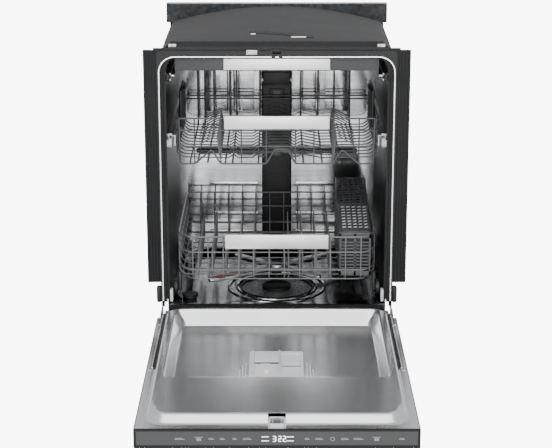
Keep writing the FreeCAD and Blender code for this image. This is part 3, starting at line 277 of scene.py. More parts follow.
@dataclass(frozen=True)
class Lens(Finish):
    """Smoked glossy cover of the controls, wiped by hand."""

    wipe_mm: tuple[float, ...] = (166.7, 16.67, 16.67)

    def dress(self, surface: Surface) -> None:
        """Faint wipe marks in the gloss."""
        surface.set({"Coat Weight": 0.4, "Coat Roughness": 0.08})
        surface.tones(self, surface.noise(self.wipe_mm, 4.0), 0.06)


@dataclass(frozen=True)
class Ink(Finish):
    """Printed or lit marks behind the lens."""

    glow: float = 0.0
    mottle_mm: float = 3.333

    def dress(self, surface: Surface) -> None:
        """Even ink with a slight mottling, lit from behind where it glows."""
        surface.set({"Emission Color": linear(self.colour), "Emission Strength": self.glow})
        surface.tones(self, surface.noise(self.mottle_mm, 2.0), 0.03)


# Bright-annealed stainless of the back wall: almost a mirror, slightly wavy.
BACK_STEEL = Sheet("stainless_bright_annealed", "stainless_tub", "d4d5d6", "96979a", 0.13,
                   Grain.ACROSS, 9.0, 0.10, 0.04)
# Stainless tub wall, rolled: its colour painted dark as a painted reflection of the racks that it mostly
# mirrors.
TUB_STEEL = Sheet("stainless_rolled_tub_painted_dark", "stainless_tub", "28292b", "121314", 0.4, Grain.UPRIGHT,
                  1.6, 0.02, 0.05, 0.35, 0.2)
# Pressed tub floor: polished, its colour darker than the back wall's.
FLOOR_STEEL = Sheet("stainless_pressed_floor", "stainless_tub", "77787a", "3e3f41", 0.16, Grain.DEEP,
                    3.0, 0.05, 0.05)
# Door liner, drawn and brushed: soft broad reflections with lines across.
LINER_STEEL = Sheet("stainless_brushed_liner", "stainless_tub", "e6e7e8", "cccdcf", 0.2, Grain.DEEP,
                    2.0, 0.02, 0.04, 0.92)
# Folded bright edge of the tub; the same bright steel also paints highlights on the back wall's beads and
# along the door's ridge.
EDGE_AND_HIGHLIGHT_STEEL = Sheet("stainless_polished_edge_and_painted_highlight", "stainless_tub", "f2f2f2", "e2e2e2", 0.2, Grain.UPRIGHT)
# Satin bars on the racks: fine lines along the bar, near white in a bright room.
SATIN_STEEL = Sheet("stainless_satin_bar", "satin_steel", "d6d6d4", "c4c4c2", 0.34, Grain.ACROSS, 1.4, 0.03)
# Black stainless of the door's outside: a dark film over brushed steel.
DARK_STEEL = Sheet("black_stainless_film", "dark_panel", "262728", "1e1f20", 0.36, Grain.ACROSS, 1.4, 0.02,
                   0.04, 0.8)
# Spray arm pressed from stainless.
ARM_STEEL = Sheet("stainless_pressed_arm", "stainless_tub", "b9babc", "a2a3a6", 0.3, Grain.NONE)
# Galvanised brackets and side frames.
ZINC = Zinc("steel_galvanised", "galvanised_steel", "b9bcbf", "9a9da1", 0.42)
# Rear bracket, galvanised, its colour darkened as painted shade: a shaded copy of the galvanised finish.
ZINC_PAINTED_SHADE = Zinc("steel_galvanised_painted_shade", "galvanised_steel", "3e4042", "2f3133", 0.5)
# Frame round the mouth, powder coated: matt with fine orange peel.
FRAME_COAT = Polymer("steel_powder_coated_black", "black_coated_steel", "1e1f20", "161718", 0.5, 3.0, 0.04,
                     ior=1.35)
# Polypropylene mouldings in the tub and base; the same black also paints shade: the blanket's slit, the
# bracket's slots, the strike box's openings and the line beside the door's ridge.
BLACK_PP_AND_SHADE = Polymer("polypropylene_black_and_painted_shade", "black_plastic", "0f1011", "0a0b0c", 0.45, ior=1.4)
# Grey polypropylene of the third rack's front, the cutlery basket and the pipe.
GREY_PP = Polymer("polypropylene_grey", "grey_plastic", "303133", "28292a", 0.45)
BASKET_PP = Polymer("polypropylene_basket_grey", "grey_plastic", "434446", "3a3b3d", 0.42)
MID_PP = Polymer("polypropylene_mid_grey", "grey_plastic", "6a6b6d", "5e5f61", 0.45)
# Silver-grey ABS of the dispenser; the same light grey also paints highlights on the cutlery lid's slot
# edges.
SILVER_ABS_AND_HIGHLIGHT = Polymer("abs_silver_grey_and_painted_highlight", "light_plastic", "c7c8ca", "b9babc", 0.38, gloss=0.15)
WHITE_PP = Polymer("polypropylene_white", "white_plastic", "f1f1ef", "e4e4e2", 0.4)
# EPDM seals and flaps: matt, bloomed.
EPDM = Polymer("rubber_epdm_black", "black_rubber", "141415", "0e0e0f", 0.62, 2.0, 0.06, ior=1.3)
FLAP_EPDM = Polymer("rubber_epdm_extruded", "black_rubber", "1c1d1e", "141516", 0.6, 2.0, 0.06, ior=1.3)
# Nylon powder coat on rack wire: thick, slightly glossy.
NYLON = Polymer("steel_wire_nylon_coated", "rack_wire", "3c3d3f", "333436", 0.36, 2.5, 0.05, 0.15)
NYLON_LIGHT = Polymer("steel_wire_nylon_light", "rack_wire", "656668", "58595b", 0.36, 2.5, 0.05, 0.15)
TERRACOTTA = Polymer("polypropylene_terracotta", "grey_plastic", "9c4a2c", "7f3a24", 0.45)
FELT = Fleece("felt_needled_bitumen", "sound_blanket", "2a2a2b", "202021", 0.9)
MESH = Woven("stainless_filter_weave", "filter_mesh", "a5a6a8", "4c4d4f", 0.4)
LENS = Lens("polycarbonate_smoked", "display_lens", "232425", "1d1e1f", 0.3)
PRINT = Ink("ink_grey_print", "white_plastic", "8f9092", "86878a", 0.5, 0.0)
LIT = Ink("led_white_segments", "white_plastic", "ffffff", "f4f6ff", 0.5, 1.6)


# ---- shape builders --------------------
def spaced(low: float, high: float, count: int) -> list[float]:
    """Returns evenly spaced values from low to high."""
    return [low + (high - low) * i / (count - 1) for i in range(count)]


def dress(finish: Finish, *nodes: str) -> None:
    """Gives CAD nodes a finish.

    Args:
        finish: the finish.
        nodes: names of the nodes.
    """
    for node in nodes:
        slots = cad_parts[node].data.materials
        slots.clear()
        slots.append(finish.material())
        log.info("dressed %s in %s", node, finish.label)


def settle(mesh: bpy.types.Mesh, name: str, body: str, finish: Finish,
           replaced: Iterable[str]) -> bpy.types.Object:
    """Turns a mesh in metres into a finished piece on its body.

    Args:
        mesh: the piece's mesh, in place.
        name: the piece's name.
        body: the CAD body that it rides on.
        finish: its finish.
        replaced: CAD nodes that it stands for.

    Returns:
        The piece.
    """
    piece = bpy.data.objects.new(name, mesh)
    bpy.context.scene.collection.objects.link(piece)
    mesh.materials.append(finish.material())
    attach(piece, body)
    if replaced:
        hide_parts(*replaced)
    log.info("built %s: %d faces", name, len(mesh.polygons))
    return piece


class Shape:
    """A mesh under construction, in millimetres."""

    def __init__(self) -> None:
        """Starts empty."""
        self.bm = bmesh.new()

    def soften(self, verts: Iterable[bmesh.types.BMVert], by: float, steps: int) -> None:
        """Rounds the sharp edges of a new shape.

        Args:
            verts: its vertices.
            by: width of the rounding.
            steps: segments across it.
        """
        if by <= 0:
            return
        edges = {e for v in verts for e in v.link_edges if e.calc_face_angle(0.0) > 0.6}
        bmesh.ops.bevel(self.bm, geom=list(edges), offset=by, segments=steps, profile=0.5,
                        affect="EDGES", material=-1, clamp_overlap=True)

    def box(self, x: Pair, y: Pair, z: Pair, soft: float = 0.0, steps: int = 2,
            turn: Matrix | None = None) -> "Shape":
        """Adds a block with rounded edges.

        Args:
            x: low and high face.
            y: low and high face.
            z: low and high face.
            soft: rounding of its edges.
            steps: segments of the rounding.
            turn: a turn applied about its own middle.
        """
        middle = Matrix.Translation([(p[0] + p[1]) / 2 for p in (x, y, z)])
        size = Matrix.Diagonal([p[1] - p[0] for p in (x, y, z)] + [1.0])
        made = bmesh.ops.create_cube(self.bm, size=1.0, matrix=middle @ (turn or Matrix.Identity(4)) @ size)
        self.soften(made["verts"], soft, steps)
        return self

    def rod(self, start: Point, end: Point, radius: float, far_radius: float | None = None,
            sides: int = 24, soft: float = 0.0) -> "Shape":
        """Adds a round bar or cone from one point to another.

        Args:
            start: middle of the first end.
            end: middle of the other end.
            radius: radius at the start.
            far_radius: radius at the end, when it differs.
            sides: faces round it.
            soft: rounding of the end edges.
        """
        run = Vector(end) - Vector(start)
        turn = run.to_track_quat("Z", "Y").to_matrix().to_4x4()
        made = bmesh.ops.create_cone(
            self.bm, cap_ends=True, segments=sides, radius1=radius,
            radius2=radius if far_radius is None else far_radius, depth=run.length,
            matrix=Matrix.Translation((Vector(start) + Vector(end)) / 2) @ turn)
        if soft:
            self.soften(made["verts"], soft, 2)
        return self

    def prism(self, outline: Sequence[Point], lift: Point, soft: float = 0.0, steps: int = 2) -> "Shape":
        """Adds a flat outline pushed out along a line.

        Args:
            outline: its corners in order.
            lift: the push, which faces the way that a counterclockwise outline does.
            soft: rounding of its edges.
            steps: segments of the rounding.
        """
        face = self.bm.faces.new([self.bm.verts.new(p) for p in outline])
        grown = bmesh.ops.extrude_face_region(self.bm, geom=[face])["geom"]
        moved = [g for g in grown if isinstance(g, bmesh.types.BMVert)]
        bmesh.ops.translate(self.bm, vec=lift, verts=moved)
        verts = list(face.verts) + moved
        faces = list({f for v in verts for f in v.link_faces})
        bmesh.ops.recalc_face_normals(self.bm, faces=faces)
        self.soften(verts, soft, steps)
        return self

    def lathe(self, profile: Sequence[Pair], centre: Point, axis: Point, sides: int = 32) -> "Shape":
        """Adds a turned shape.

        Args:
            profile: radius and height of each corner, closed on itself or on the axis.
            centre: where height zero is.
            axis: direction of the height.
            sides: faces round it.
        """
        turn = Vector(axis).to_track_quat("Z", "Y").to_matrix().to_4x4()
        place = Matrix.Translation(centre) @ turn
        verts = [self.bm.verts.new(place @ Vector((r, 0.0, h))) for r, h in profile]
        edges = [self.bm.edges.new(pair) for pair in zip(verts, verts[1:])]
        done = bmesh.ops.spin(self.bm, geom=verts + edges, cent=centre, axis=axis, dvec=(0, 0, 0),
                              angle=math.tau, steps=sides, use_merge=True, use_duplicate=False)
        near = {v for e in edges if e.is_valid for v in e.verts}
        near |= {g for g in done["geom_last"] if isinstance(g, bmesh.types.BMVert) and g.is_valid}
        island = self.island(near)
        bmesh.ops.remove_doubles(self.bm, verts=list(island), dist=0.001)
        island = {v for v in island if v.is_valid}
        bmesh.ops.recalc_face_normals(self.bm, faces=list({f for v in island for f in v.link_faces}))
        return self

    def island(self, seeds: Iterable[bmesh.types.BMVert]) -> set:
        """Returns every vertex joined to the seeds."""
        found, queue = set(), [v for v in seeds if v.is_valid]
        while queue:
            vert = queue.pop()
            if vert in found:
                continue
            found.add(vert)
            queue.extend(e.other_vert(vert) for e in vert.link_edges)
        return found

    def grid(self, across: Sequence[float], along: Sequence[float]) -> "Shape":
        """Adds a flat grid whose lines stand at the given places, ready to be shaped.

        Args:
            across: X of each line.
            along: Y of each line.
        """
        nx, ny = len(across) - 1, len(along) - 1
        made = bmesh.ops.create_grid(self.bm, x_segments=nx, y_segments=ny, size=1.0)
        for vert in made["verts"]:
            i, j = round((vert.co.x + 1) / 2 * nx), round((vert.co.y + 1) / 2 * ny)
            vert.co = Vector((across[i], along[j], 0.0))
        return self

    def turned(self, centre: Point, axis: str, degrees: float) -> "Shape":
        """Turns everything built so far about a point."""
        bmesh.ops.rotate(self.bm, cent=centre, matrix=Matrix.Rotation(math.radians(degrees), 3, axis),
                         verts=self.bm.verts)
        return self

    def mirrored(self) -> "Shape":
        """Adds the mirror image across the middle of the width."""
        everything = self.bm.verts[:] + self.bm.edges[:] + self.bm.faces[:]
        copy = bmesh.ops.duplicate(self.bm, geom=everything)["geom"]
        verts = [g for g in copy if isinstance(g, bmesh.types.BMVert)]
        faces = [g for g in copy if isinstance(g, bmesh.types.BMFace)]
        bmesh.ops.scale(self.bm, vec=(-1, 1, 1), verts=verts)
        bmesh.ops.reverse_faces(self.bm, faces=faces)
        return self

    def piece(self, name: str, body: str, finish: Finish, *replaced: str,
              smooth: float = 0.6) -> bpy.types.Object:
        """Finishes the mesh as a piece.

        Args:
            name: the piece's name.
            body: the CAD body that it rides on.
            finish: its finish.
            replaced: CAD nodes that it stands for.
            smooth: angle in radians above which an edge stays sharp.

        Returns:
            The piece.
        """
        bmesh.ops.scale(self.bm, vec=(MM, MM, MM), verts=self.bm.verts)
        for face in self.bm.faces:
            face.smooth = True
        for edge in self.bm.edges:
            edge.smooth = edge.calc_face_angle(0.0) < smooth
        mesh = bpy.data.meshes.new(name)
        self.bm.to_mesh(mesh)
        self.bm.free()
        return settle(mesh, name, body, finish, replaced)


class WireWork:
    """Bent round wires gathered into one piece, in millimetres."""

    def __init__(self, radius: float, sides: int = 8) -> None:
        """Starts empty, with the wire's radius and the number of faces round it."""
        self.radius = radius
        self.curve = bpy.data.curves.new("wires", "CURVE")
        self.curve.dimensions = "3D"
        self.curve.bevel_depth = radius * MM
        self.curve.bevel_resolution = sides // 2 - 2
        self.curve.use_fill_caps = True

    @staticmethod
    def bent(points: Sequence[Vector], bend: float, closed: bool) -> list[Vector]:
        """Rounds the corners of a path.

        Args:
            points: its corners.
            bend: how far from a corner the bend starts.
            closed: whether the path joins up.

        Returns:
            The path's points.
        """
        path, n = [], len(points)
        for i, here in enumerate(points):
            if not closed and i in (0, n - 1):
                path.append(here)
                continue
            back, on = points[i - 1] - here, points[(i + 1) % n] - here
            reach = min(bend, back.length * 0.45, on.length * 0.45)
            a, b = here + back.normalized() * reach, here + on.normalized() * reach
            path += [a.lerp(here, t).lerp(here.lerp(b, t), t) for t in (0.0, 0.33, 0.67, 1.0)]
        return path

    def run(self, *points: Point, bend: float = 8.0, thick: float = 1.0, closed: bool = False,
            tip: bool = False) -> "WireWork":
        """Adds one wire.

        Args:
            points: corners of its path.
            bend: how far from a corner the bend starts.
            thick: its radius as a share of the usual one.
            closed: whether it joins up.
            tip: whether its last end is rounded.
        """
        path = self.bent([Vector(p) for p in points], bend, closed)
        sizes = [thick] * len(path)
        if tip:
            end = path[-1]
            step = (end - path[-2]).normalized() * self.radius * thick * 0.7
            path[-1:] = [end - step, end]
            sizes = sizes + [thick * 0.45]
        spline = self.curve.splines.new("POLY")
        spline.points.add(len(path) - 1)
        for target, place, size in zip(spline.points, path, sizes):
            target.co = (*(place * MM), 1.0)
            target.radius = size
        spline.use_cyclic_u = closed
        return self

    def piece(self, name: str, body: str, finish: Finish, *replaced: str) -> bpy.types.Object:
        """Finishes the wires as a mesh piece, with the same arguments as Shape.piece."""
        holder = bpy.data.objects.new("wires", self.curve)
        bpy.context.scene.collection.objects.link(holder)
        mesh = bpy.data.meshes.new_from_object(holder)
        bpy.data.objects.remove(holder)
        mesh.name = name
        mesh.shade_smooth()
        return settle(mesh, name, body, finish, replaced)


# ---- cabinet --------------------
@dataclass
class Tub:
    """Stainless tub with its pressed back wall, bright edge and seal."""

    back: float = 500.0
    bead_levels: tuple[float, ...] = (354.0, 266.0, 213.0)
    bead_half: float = 5.0
    bead_span: Pair = (52.0, 188.0)
    bead_proud: float = 3.0
    panel_spans: tuple[Pair, ...] = ((62.0, 120.0), (134.0, 196.0))
    panel_levels: Pair = (560.0, 760.0)
    panel_proud: float = 1.4
    sunk: float = 0.2              # how far a pressing reaches into the wall
    sump_y: float = 190.0
    swage_radii: Pair = (104.0, 126.0)
    swage_half: float = 5.0
    swage_shoulder: Pair = (3.4, 2.2)    # half width and height
    swage_foot: float = 149.6
    swage_top: float = 153.0

    def build(self) -> None:
        """Dresses the tub and presses swages into its floor, beads and panels into its back wall."""
        for finish, node in ((TUB_STEEL, "tub_wrapper"), (FLOOR_STEEL, "tub_floor"),
                             (BACK_STEEL, "tub_back_wall"), (EDGE_AND_HIGHLIGHT_STEEL, "mouth_trim"), (EPDM, "tub_gasket")):
            dress(finish, node)
        swages, beads, panels = Shape(), Shape(), Shape()
        half, foot, (side, lift) = self.swage_half, self.swage_foot, self.swage_shoulder
        for r in self.swage_radii:
            profile = [(r - half, foot), (r - side, foot + lift), (r, self.swage_top),
                       (r + side, foot + lift), (r + half, foot), (r - half, foot)]
            swages.lathe(profile, (0, self.sump_y, 0), (0, 0, 1), 96)
        swages.piece("tub_floor_swages", "cabinet", BACK_STEEL)
        # The beads are pressed in the back wall's own sheet but take the brighter edge steel: a painted
        # highlight along each bead.
        for z in self.bead_levels:
            beads.box(self.bead_span, (self.back - self.bead_proud, self.back + self.sunk),
                      (z - self.bead_half, z + self.bead_half), 2.6, 4)
        beads.mirrored().piece("back_wall_beads", "cabinet", EDGE_AND_HIGHLIGHT_STEEL)
        for span in self.panel_spans:
            panels.box(span, (self.back - self.panel_proud, self.back + self.sunk), self.panel_levels, 1.3, 3)
        panels.mirrored().piece("back_wall_panels", "cabinet", BACK_STEEL)


@dataclass
class Seals:
    """Ribbed rubber flaps beside the frame."""

    inner: float = 293.0
    outer: float = 326.0
    low: float = 224.0
    high: float = 818.0
    ribs: int = 4
    rib_half: float = 1.9

    def build(self) -> None:
        """Builds a flap with upright ribs for each side."""
        flap = Shape().box((self.inner, self.outer), (4.0, 6.5), (self.low, self.high), 0.8)
        for x in spaced(self.inner + 7.0, self.outer - 4.0, self.ribs):
            flap.box((x - self.rib_half, x + self.rib_half), (1.5, 4.6), (self.low, self.high), 1.2, 3)
        flap.mirrored().piece("side_seal_flaps", "cabinet", FLAP_EPDM, "side_seals")


@dataclass
class Blanket:
    """Felt sound blanket laid over the tub, with a lifted fold at its front."""

    half: float = 291.7
    foot: float = 190.0
    front: float = 104.0
    back: float = 471.5
    edge_top: float = 814.0
    shoulder_rise: float = 6.0
    front_bow: float = 2.0
    crown: float = 856.0
    fullness: float = 0.8          # below 1, the hood rises early behind its front edge
    corner: float = 30.0
    thick: float = 7.0
    ripple: float = 0.8
    ripple_per_mm: tuple[float, ...] = (0.011, 0.017, 0.009)
    wall_share: float = 0.52       # of the way from a foot to the crown
    bend_share: float = 0.60
    sheet_back: Pair = (501.8, 509.6)
    sheet_top: float = 807.5

    def arch(self, y: float) -> Pair:
        """Returns the heights of the shoulders and of the crown at a place along the depth."""
        rise = ((y - self.front) / (self.back - self.front)) ** self.fullness
        low = self.edge_top + self.front_bow
        return self.edge_top + self.shoulder_rise * rise, low + (self.crown - low) * rise

    def section(self, u: float, top: float, crown: float) -> Pair:
        """Place across the arch.

        Args:
            u: share of the way from the left foot to the right foot.
            top: height of the shoulders.
            crown: height of the middle.

        Returns:
            X and Z.
        """
        side, t, flat = -1.0 if u < 0.5 else 1.0, min(u, 1.0 - u) * 2, self.half - self.corner
        if t < self.wall_share:
            return side * self.half, self.foot + (top - self.corner - self.foot) * t / self.wall_share
        if t < self.bend_share:
            a = math.radians(90 * (t - self.wall_share) / (self.bend_share - self.wall_share))
            return (side * (self.half - self.corner * (1 - math.cos(a))),
                    top - self.corner * (1 - math.sin(a)))
        x = flat * (1 - (t - self.bend_share) / (1 - self.bend_share))
        return side * x, top + (crown - top) * (1 - (x / flat) ** 2)

    def build(self) -> None:
        """Shapes the hood from a grid and adds the back sheet and the slit."""
        hood = Shape().grid(spaced(0, 1, 97), spaced(self.front, self.back, 41))
        for vert in hood.bm.verts:
            y = vert.co.y
            top, crown = self.arch(max(y, self.front))
            x, z = self.section(vert.co.x, top - 1.0, crown - 1.0)
            wave = noise.noise(Vector(c * per for c, per in zip((x, y, z), self.ripple_per_mm)))
            if abs(y - self.front) < 0.01:
                y += 3.0 * noise.noise(Vector((x * 0.02, 3.0, z * 0.02)))
            vert.co = Vector((x, y, z)) + Vector((x, 0, z - 600)).normalized() * self.ripple * wave
        bmesh.ops.recalc_face_normals(hood.bm, faces=hood.bm.faces)
        bmesh.ops.solidify(hood.bm, geom=hood.bm.faces[:], thickness=self.thick)
        piece = hood.piece("sound_blanket_hood", "cabinet", FELT, "insulation_blanket", smooth=1.2)
        sheet = Shape().box((-self.half, self.half), self.sheet_back, (self.foot, self.sheet_top), 2.0, 3)
        sheet.piece("sound_blanket_back", "cabinet", FELT)
        self.slit()

    def lift(self, x: float, y: float) -> float:
        """Returns the height of the hood's outer face at a place."""
        top, crown = self.arch(y)
        return top + (crown - top) * (1 - (x / (self.half - self.corner)) ** 2)

    def slit(self) -> None:
        """Black patch painted as the shadow in the opening where two sheets of felt meet, with the lining
        showing at both ends.
        """
        outline = [(-66, 206), (-40, 214), (20, 190), (91, 168), (91, 154), (60, 152), (10, 176), (-60, 190)]
        gap = Shape().prism([(x, y, self.lift(x, y) - 0.8) for x, y in outline], (0, 0, 1.6))
        gap.piece("sound_blanket_slit_shadow", "cabinet", BLACK_PP_AND_SHADE)
        lining = Shape()
        for x0, x1, y in ((-66.0, -54.0, 184.0), (36.0, 74.0, 156.0)):
            z = self.lift((x0 + x1) / 2, y)
            lining.box((x0, x1), (y - 5.0, y + 3.0), (z - 1.0, z + 1.2), 0.8)
        lining.piece("sound_blanket_lining", "cabinet", WHITE_PP)


@dataclass
class Cabinet:
    """Frame, bracket, clips, base and feet round the tub."""

    foot_x: float = 255.0
    foot_rows: Pair = (46.0, 520.0)
    foot_top: float = 44.0
    thread_foot: float = 15.0
    thread_pitch: float = 1.6
    flange_half: float = 299.0
    flange_y: Pair = (472.2, 501.5)
    flange_z: Pair = (861.6, 862.3)
    slot_rows: Pair = (194.0, 254.0)
    slot_half: float = 22.0
    slot_y: Pair = (482.5, 491.5)
    spring_x: float = 268.0
    spring_z: float = 92.0
    spring_start: float = 130.0
    spring_radius: float = 6.4
    spring_pitch: float = 4.3
    spring_turns: int = 34

    def build(self) -> None:
        """Dresses the CAD nodes and builds what needs finer shapes."""
        dress(FRAME_COAT, "front_frame", "kick_plate", "base_tray")
        dress(BLACK_PP_AND_SHADE, "strike_box", "drain_nozzle", "drain_pump", "circulation_pump", "pump_impeller",
              "inlet_valve")
        # The rear bracket takes the darker copy of the galvanised finish as painted shade.
        dress(ZINC_PAINTED_SHADE, "rear_bracket")
        dress(ZINC, "side_frames", "junction_box", "cabinet_clips")
        self.flange()
        self.feet()
        self.springs()
        self.covers()

    def flange(self) -> None:
        """Top flange of the rear bracket in the plain galvanised finish, above the bracket's darker
        painted-shade copy, with black marks painted as the shade in its slots.
        """
        top = Shape().box((-self.flange_half, self.flange_half), self.flange_y, self.flange_z, 0.2)
        top.piece("rear_bracket_flange", "cabinet", ZINC)
        # Black marks painted as the shade seen through the flange's slots.
        slots, z = Shape(), self.flange_z[1]
        for x in self.slot_rows:
            slots.box((x - self.slot_half, x + self.slot_half), self.slot_y, (z - 0.4, z + 0.3), 0.2)
        slots.mirrored().piece("rear_bracket_slot_shadows", "cabinet", BLACK_PP_AND_SHADE)

    def feet(self) -> None:
        """Turned feet with a threaded stem and a hexagon to turn them by."""
        profile = [(0.0, 0.0), (15.0, 0.0), (17.0, 2.0), (17.0, 6.0), (14.0, 8.0), (5.2, 8.4)]
        z = self.thread_foot
        while z < self.foot_top - 1.0:
            profile += [(4.3, z), (5.1, z + self.thread_pitch / 2)]
            z += self.thread_pitch
        profile += [(4.2, self.foot_top), (0.0, self.foot_top)]
        feet = Shape()
        for x in (-self.foot_x, self.foot_x):
            for y in self.foot_rows:
                feet.lathe(profile, (x, y, 0.0), (0, 0, 1), 20)
                feet.rod((x, y, 8.2), (x, y, self.thread_foot), 9.0, sides=6, soft=0.8)
        feet.piece("turned_leveling_feet", "cabinet", ZINC, "leveling_feet")

    def springs(self) -> None:
        """Open coils with a straight leg on the axis at each end."""
        springs, r, y0, z = WireWork(1.5, 6), self.spring_radius, self.spring_start, self.spring_z
        for x in (-self.spring_x, self.spring_x):
            coil = [(x + r * math.cos(a), y0 + self.spring_pitch * a / math.tau, z + r * math.sin(a))
                    for a in (math.tau * i / 10 for i in range(self.spring_turns * 10 + 1))]
            springs.run((x, 121.0, z), (x, 126.0, z), *coil, (x, 282.0, z), (x, 289.0, z), bend=0.4)
        springs.piece("door_spring_coils", "cabinet", ZINC, "door_springs")

    def covers(self) -> None:
        """Small mouldings round the mouth: hinge covers and corner blocks; and two black marks painted as the
        shade in the strike box's openings.
        """
        covers = Shape().box((292.0, 305.0), (1.0, 16.0), (170.0, 214.0), 5.0, 4)
        covers.box((284.0, 292.0), (1.0, 12.0), (160.0, 178.0), 2.0)
        covers.mirrored().piece("hinge_covers", "cabinet", BLACK_PP_AND_SHADE)
        blocks = Shape().box((264.0, 271.0), (6.0, 24.0), (172.0, 203.0), 1.2, 3)
        blocks.mirrored().piece("corner_blocks", "cabinet", SILVER_ABS_AND_HIGHLIGHT)
        # Two black marks on the frame's top bar, painted as the shade inside the strike box's openings.
        tabs = Shape()
        for x in (-13.0, 5.0):
            tabs.box((x, x + 9.0), (-1.0, 3.0), (798.0, 803.5), 0.8)
        tabs.piece("strike_opening_shadow_marks", "cabinet", BLACK_PP_AND_SHADE)


# ---- water works --------------------
@dataclass
class SprayArm:
    """Flat hollow arm with raised nozzles."""

    name: str
    body: str
    node: str
    z: float
    thick: float
    blades: tuple[tuple[float, float, float], ...]   # reach, half width and angle of each blade
    hub: float
    hub_span: Pair
    finish: Finish
    centre_y: float = 245.0

    def build(self) -> None:
        """Builds blades, hub and nozzles as one piece."""
        arm = Shape()
        for reach, width, angle in self.blades:
            part = Shape()
            tip = width * 0.62
            outline = [(-reach, -tip * 0.4), (-reach + tip, -tip), (0, -width), (reach - tip, -tip),
                       (reach, -tip * 0.4), (reach, tip * 0.4), (reach - tip, tip), (0, width),
                       (-reach + tip, tip), (-reach, tip * 0.4)]
            part.prism([(x, y + self.centre_y, self.z) for x, y in outline], (0, 0, self.thick),
                       self.thick * 0.3, 3)
            for i, x in enumerate(spaced(-reach + 16, reach - 16, int(reach / 14))):
                if abs(x) < self.hub + 6:
                    continue
                y = self.centre_y + (3.0 if i % 2 else -3.0)
                part.rod((x, y, self.z + self.thick - 1), (x, y, self.z + self.thick + 1.6), 4.2, 2.6, 12)
            part.turned((0, self.centre_y, 0), "Z", angle)
            joined = bpy.data.meshes.new("blade")
            part.bm.to_mesh(joined)
            arm.bm.from_mesh(joined)
            bpy.data.meshes.remove(joined)
        arm.rod((0, self.centre_y, self.hub_span[0]), (0, self.centre_y, self.hub_span[1]), self.hub,
                sides=40, soft=2.0)
        arm.piece(self.name, self.body, self.finish, self.node)


@dataclass
class WaterWorks:
    """Sump, filters, duct and spray arms."""

    duct_half: float = 41.0
    duct_front: float = 470.0
    duct_back: float = 499.8
    duct_levels: Pair = (196.0, 800.0)
    pipe_z: float = 792.5
    arm_y: float = 245.0
    inserts: tuple[Pair, ...] = ((-205.0, -120.0), (176.0, 205.0))    # along the lower arm's long blade
    blade_turn: float = 35.0

    def build(self) -> None:
        """Builds the duct and the arms and dresses the rest."""
        dress(BLACK_PP_AND_SHADE, "sump", "filter_cup", "float_dome")
        dress(MESH, "filter_plate")
        dress(MID_PP, "rack_feed_pipe")
        self.duct()
        SprayArm("lower_arm_pressed", "lower_spray_arm", "lower_spray_arm", 186.0, 9.0,
                 ((216.0, 20.0, self.blade_turn), (150.0, 18.0, -40.0)), 26.0, (181.0, 200.0),
                 ARM_STEEL).build()
        SprayArm("middle_arm_moulded", "middle_spray_arm", "middle_spray_arm", 504.0, 10.0,
                 ((212.0, 20.0, 0.0),), 24.0, (500.0, 518.0), GREY_PP).build()
        SprayArm("top_arm_moulded", "top_spray_arm", "top_spray_arm", 781.0, 6.0,
                 ((95.0, 16.0, 0.0),), 18.0, (780.0, 792.0), GREY_PP).build()
        tips = Shape()
        for span in self.inserts:
            tips.box(span, (self.arm_y - 5.0, self.arm_y + 5.0), (195.2, 197.6), 1.0)
        tips.turned((0, self.arm_y, 0), "Z", self.blade_turn)
        tips.piece("lower_arm_inserts", "lower_spray_arm", TERRACOTTA)

    def duct(self) -> None:
        """Channel up the back wall with its docking block, port and ribs."""
        h, f, y, z = self.duct_half, self.duct_front, self.arm_y, self.pipe_z
        duct = Shape().box((-h, h), (f, self.duct_back), self.duct_levels, 4.0, 3)
        duct.box((-h + 4, h - 4), (f - 3.4, f + 2), (642.0, 676.0), 2.0, 3)
        duct.box((-h + 2, h - 2), (f - 2.2, f + 2), (636.0, 641.0), 1.0)
        duct.box((-20.0, 20.0), (f - 3.0, f + 2), (600.0, 630.0), 5.0, 4)
        for i in range(4):
            rib = (584.0 - 11 * i, 587.5 - 11 * i)
            for side in (-1, 1):
                duct.box((side * 15.0 - 14.0, side * 15.0 + 14.0), (f - 1.8, f + 1), rib, 0.8, 2,
                         Matrix.Rotation(side * 0.35, 4, "Y"))
        for low in spaced(250.0, 520.0, 5):
            duct.box((-h + 3, h - 3), (f - 1.2, f + 1), (low, low + 2.5), 0.8)
        duct.rod((0, f + 15, 166.5), (0, f + 15, 198.0), 14.0, sides=28)
        duct.box((-12.0, 12.0), (y, f + 2), (z + 0.1, z + 7.3), 2.0, 3)
        duct.rod((0, y, z), (0, y, z + 7.3), 16.0, sides=28, soft=1.0)
        duct.rod((0, y, z - 7.5), (0, y, z + 0.5), 6.0, sides=20)
        duct.piece("water_duct_moulding", "cabinet", BLACK_PP_AND_SHADE, "water_duct")
        port = Shape().box((-11.0, 11.0), (f - 4.0, f - 2.6), (606.0, 624.0), 3.0, 3)
        port.piece("duct_port_flap", "cabinet", GREY_PP)
        tabs = Shape().box((h - 4, h + 3), (f - 5.0, f - 1.0), (650.0, 658.0), 0.8)
        for low in spaced(566.0, 690.0, 9):
            tabs.box((h + 0.5, h + 2.5), (f + 6.0, f + 12.0), (low, low + 6.0), 0.5)
        tabs.mirrored().piece("duct_tabs", "cabinet", WHITE_PP)


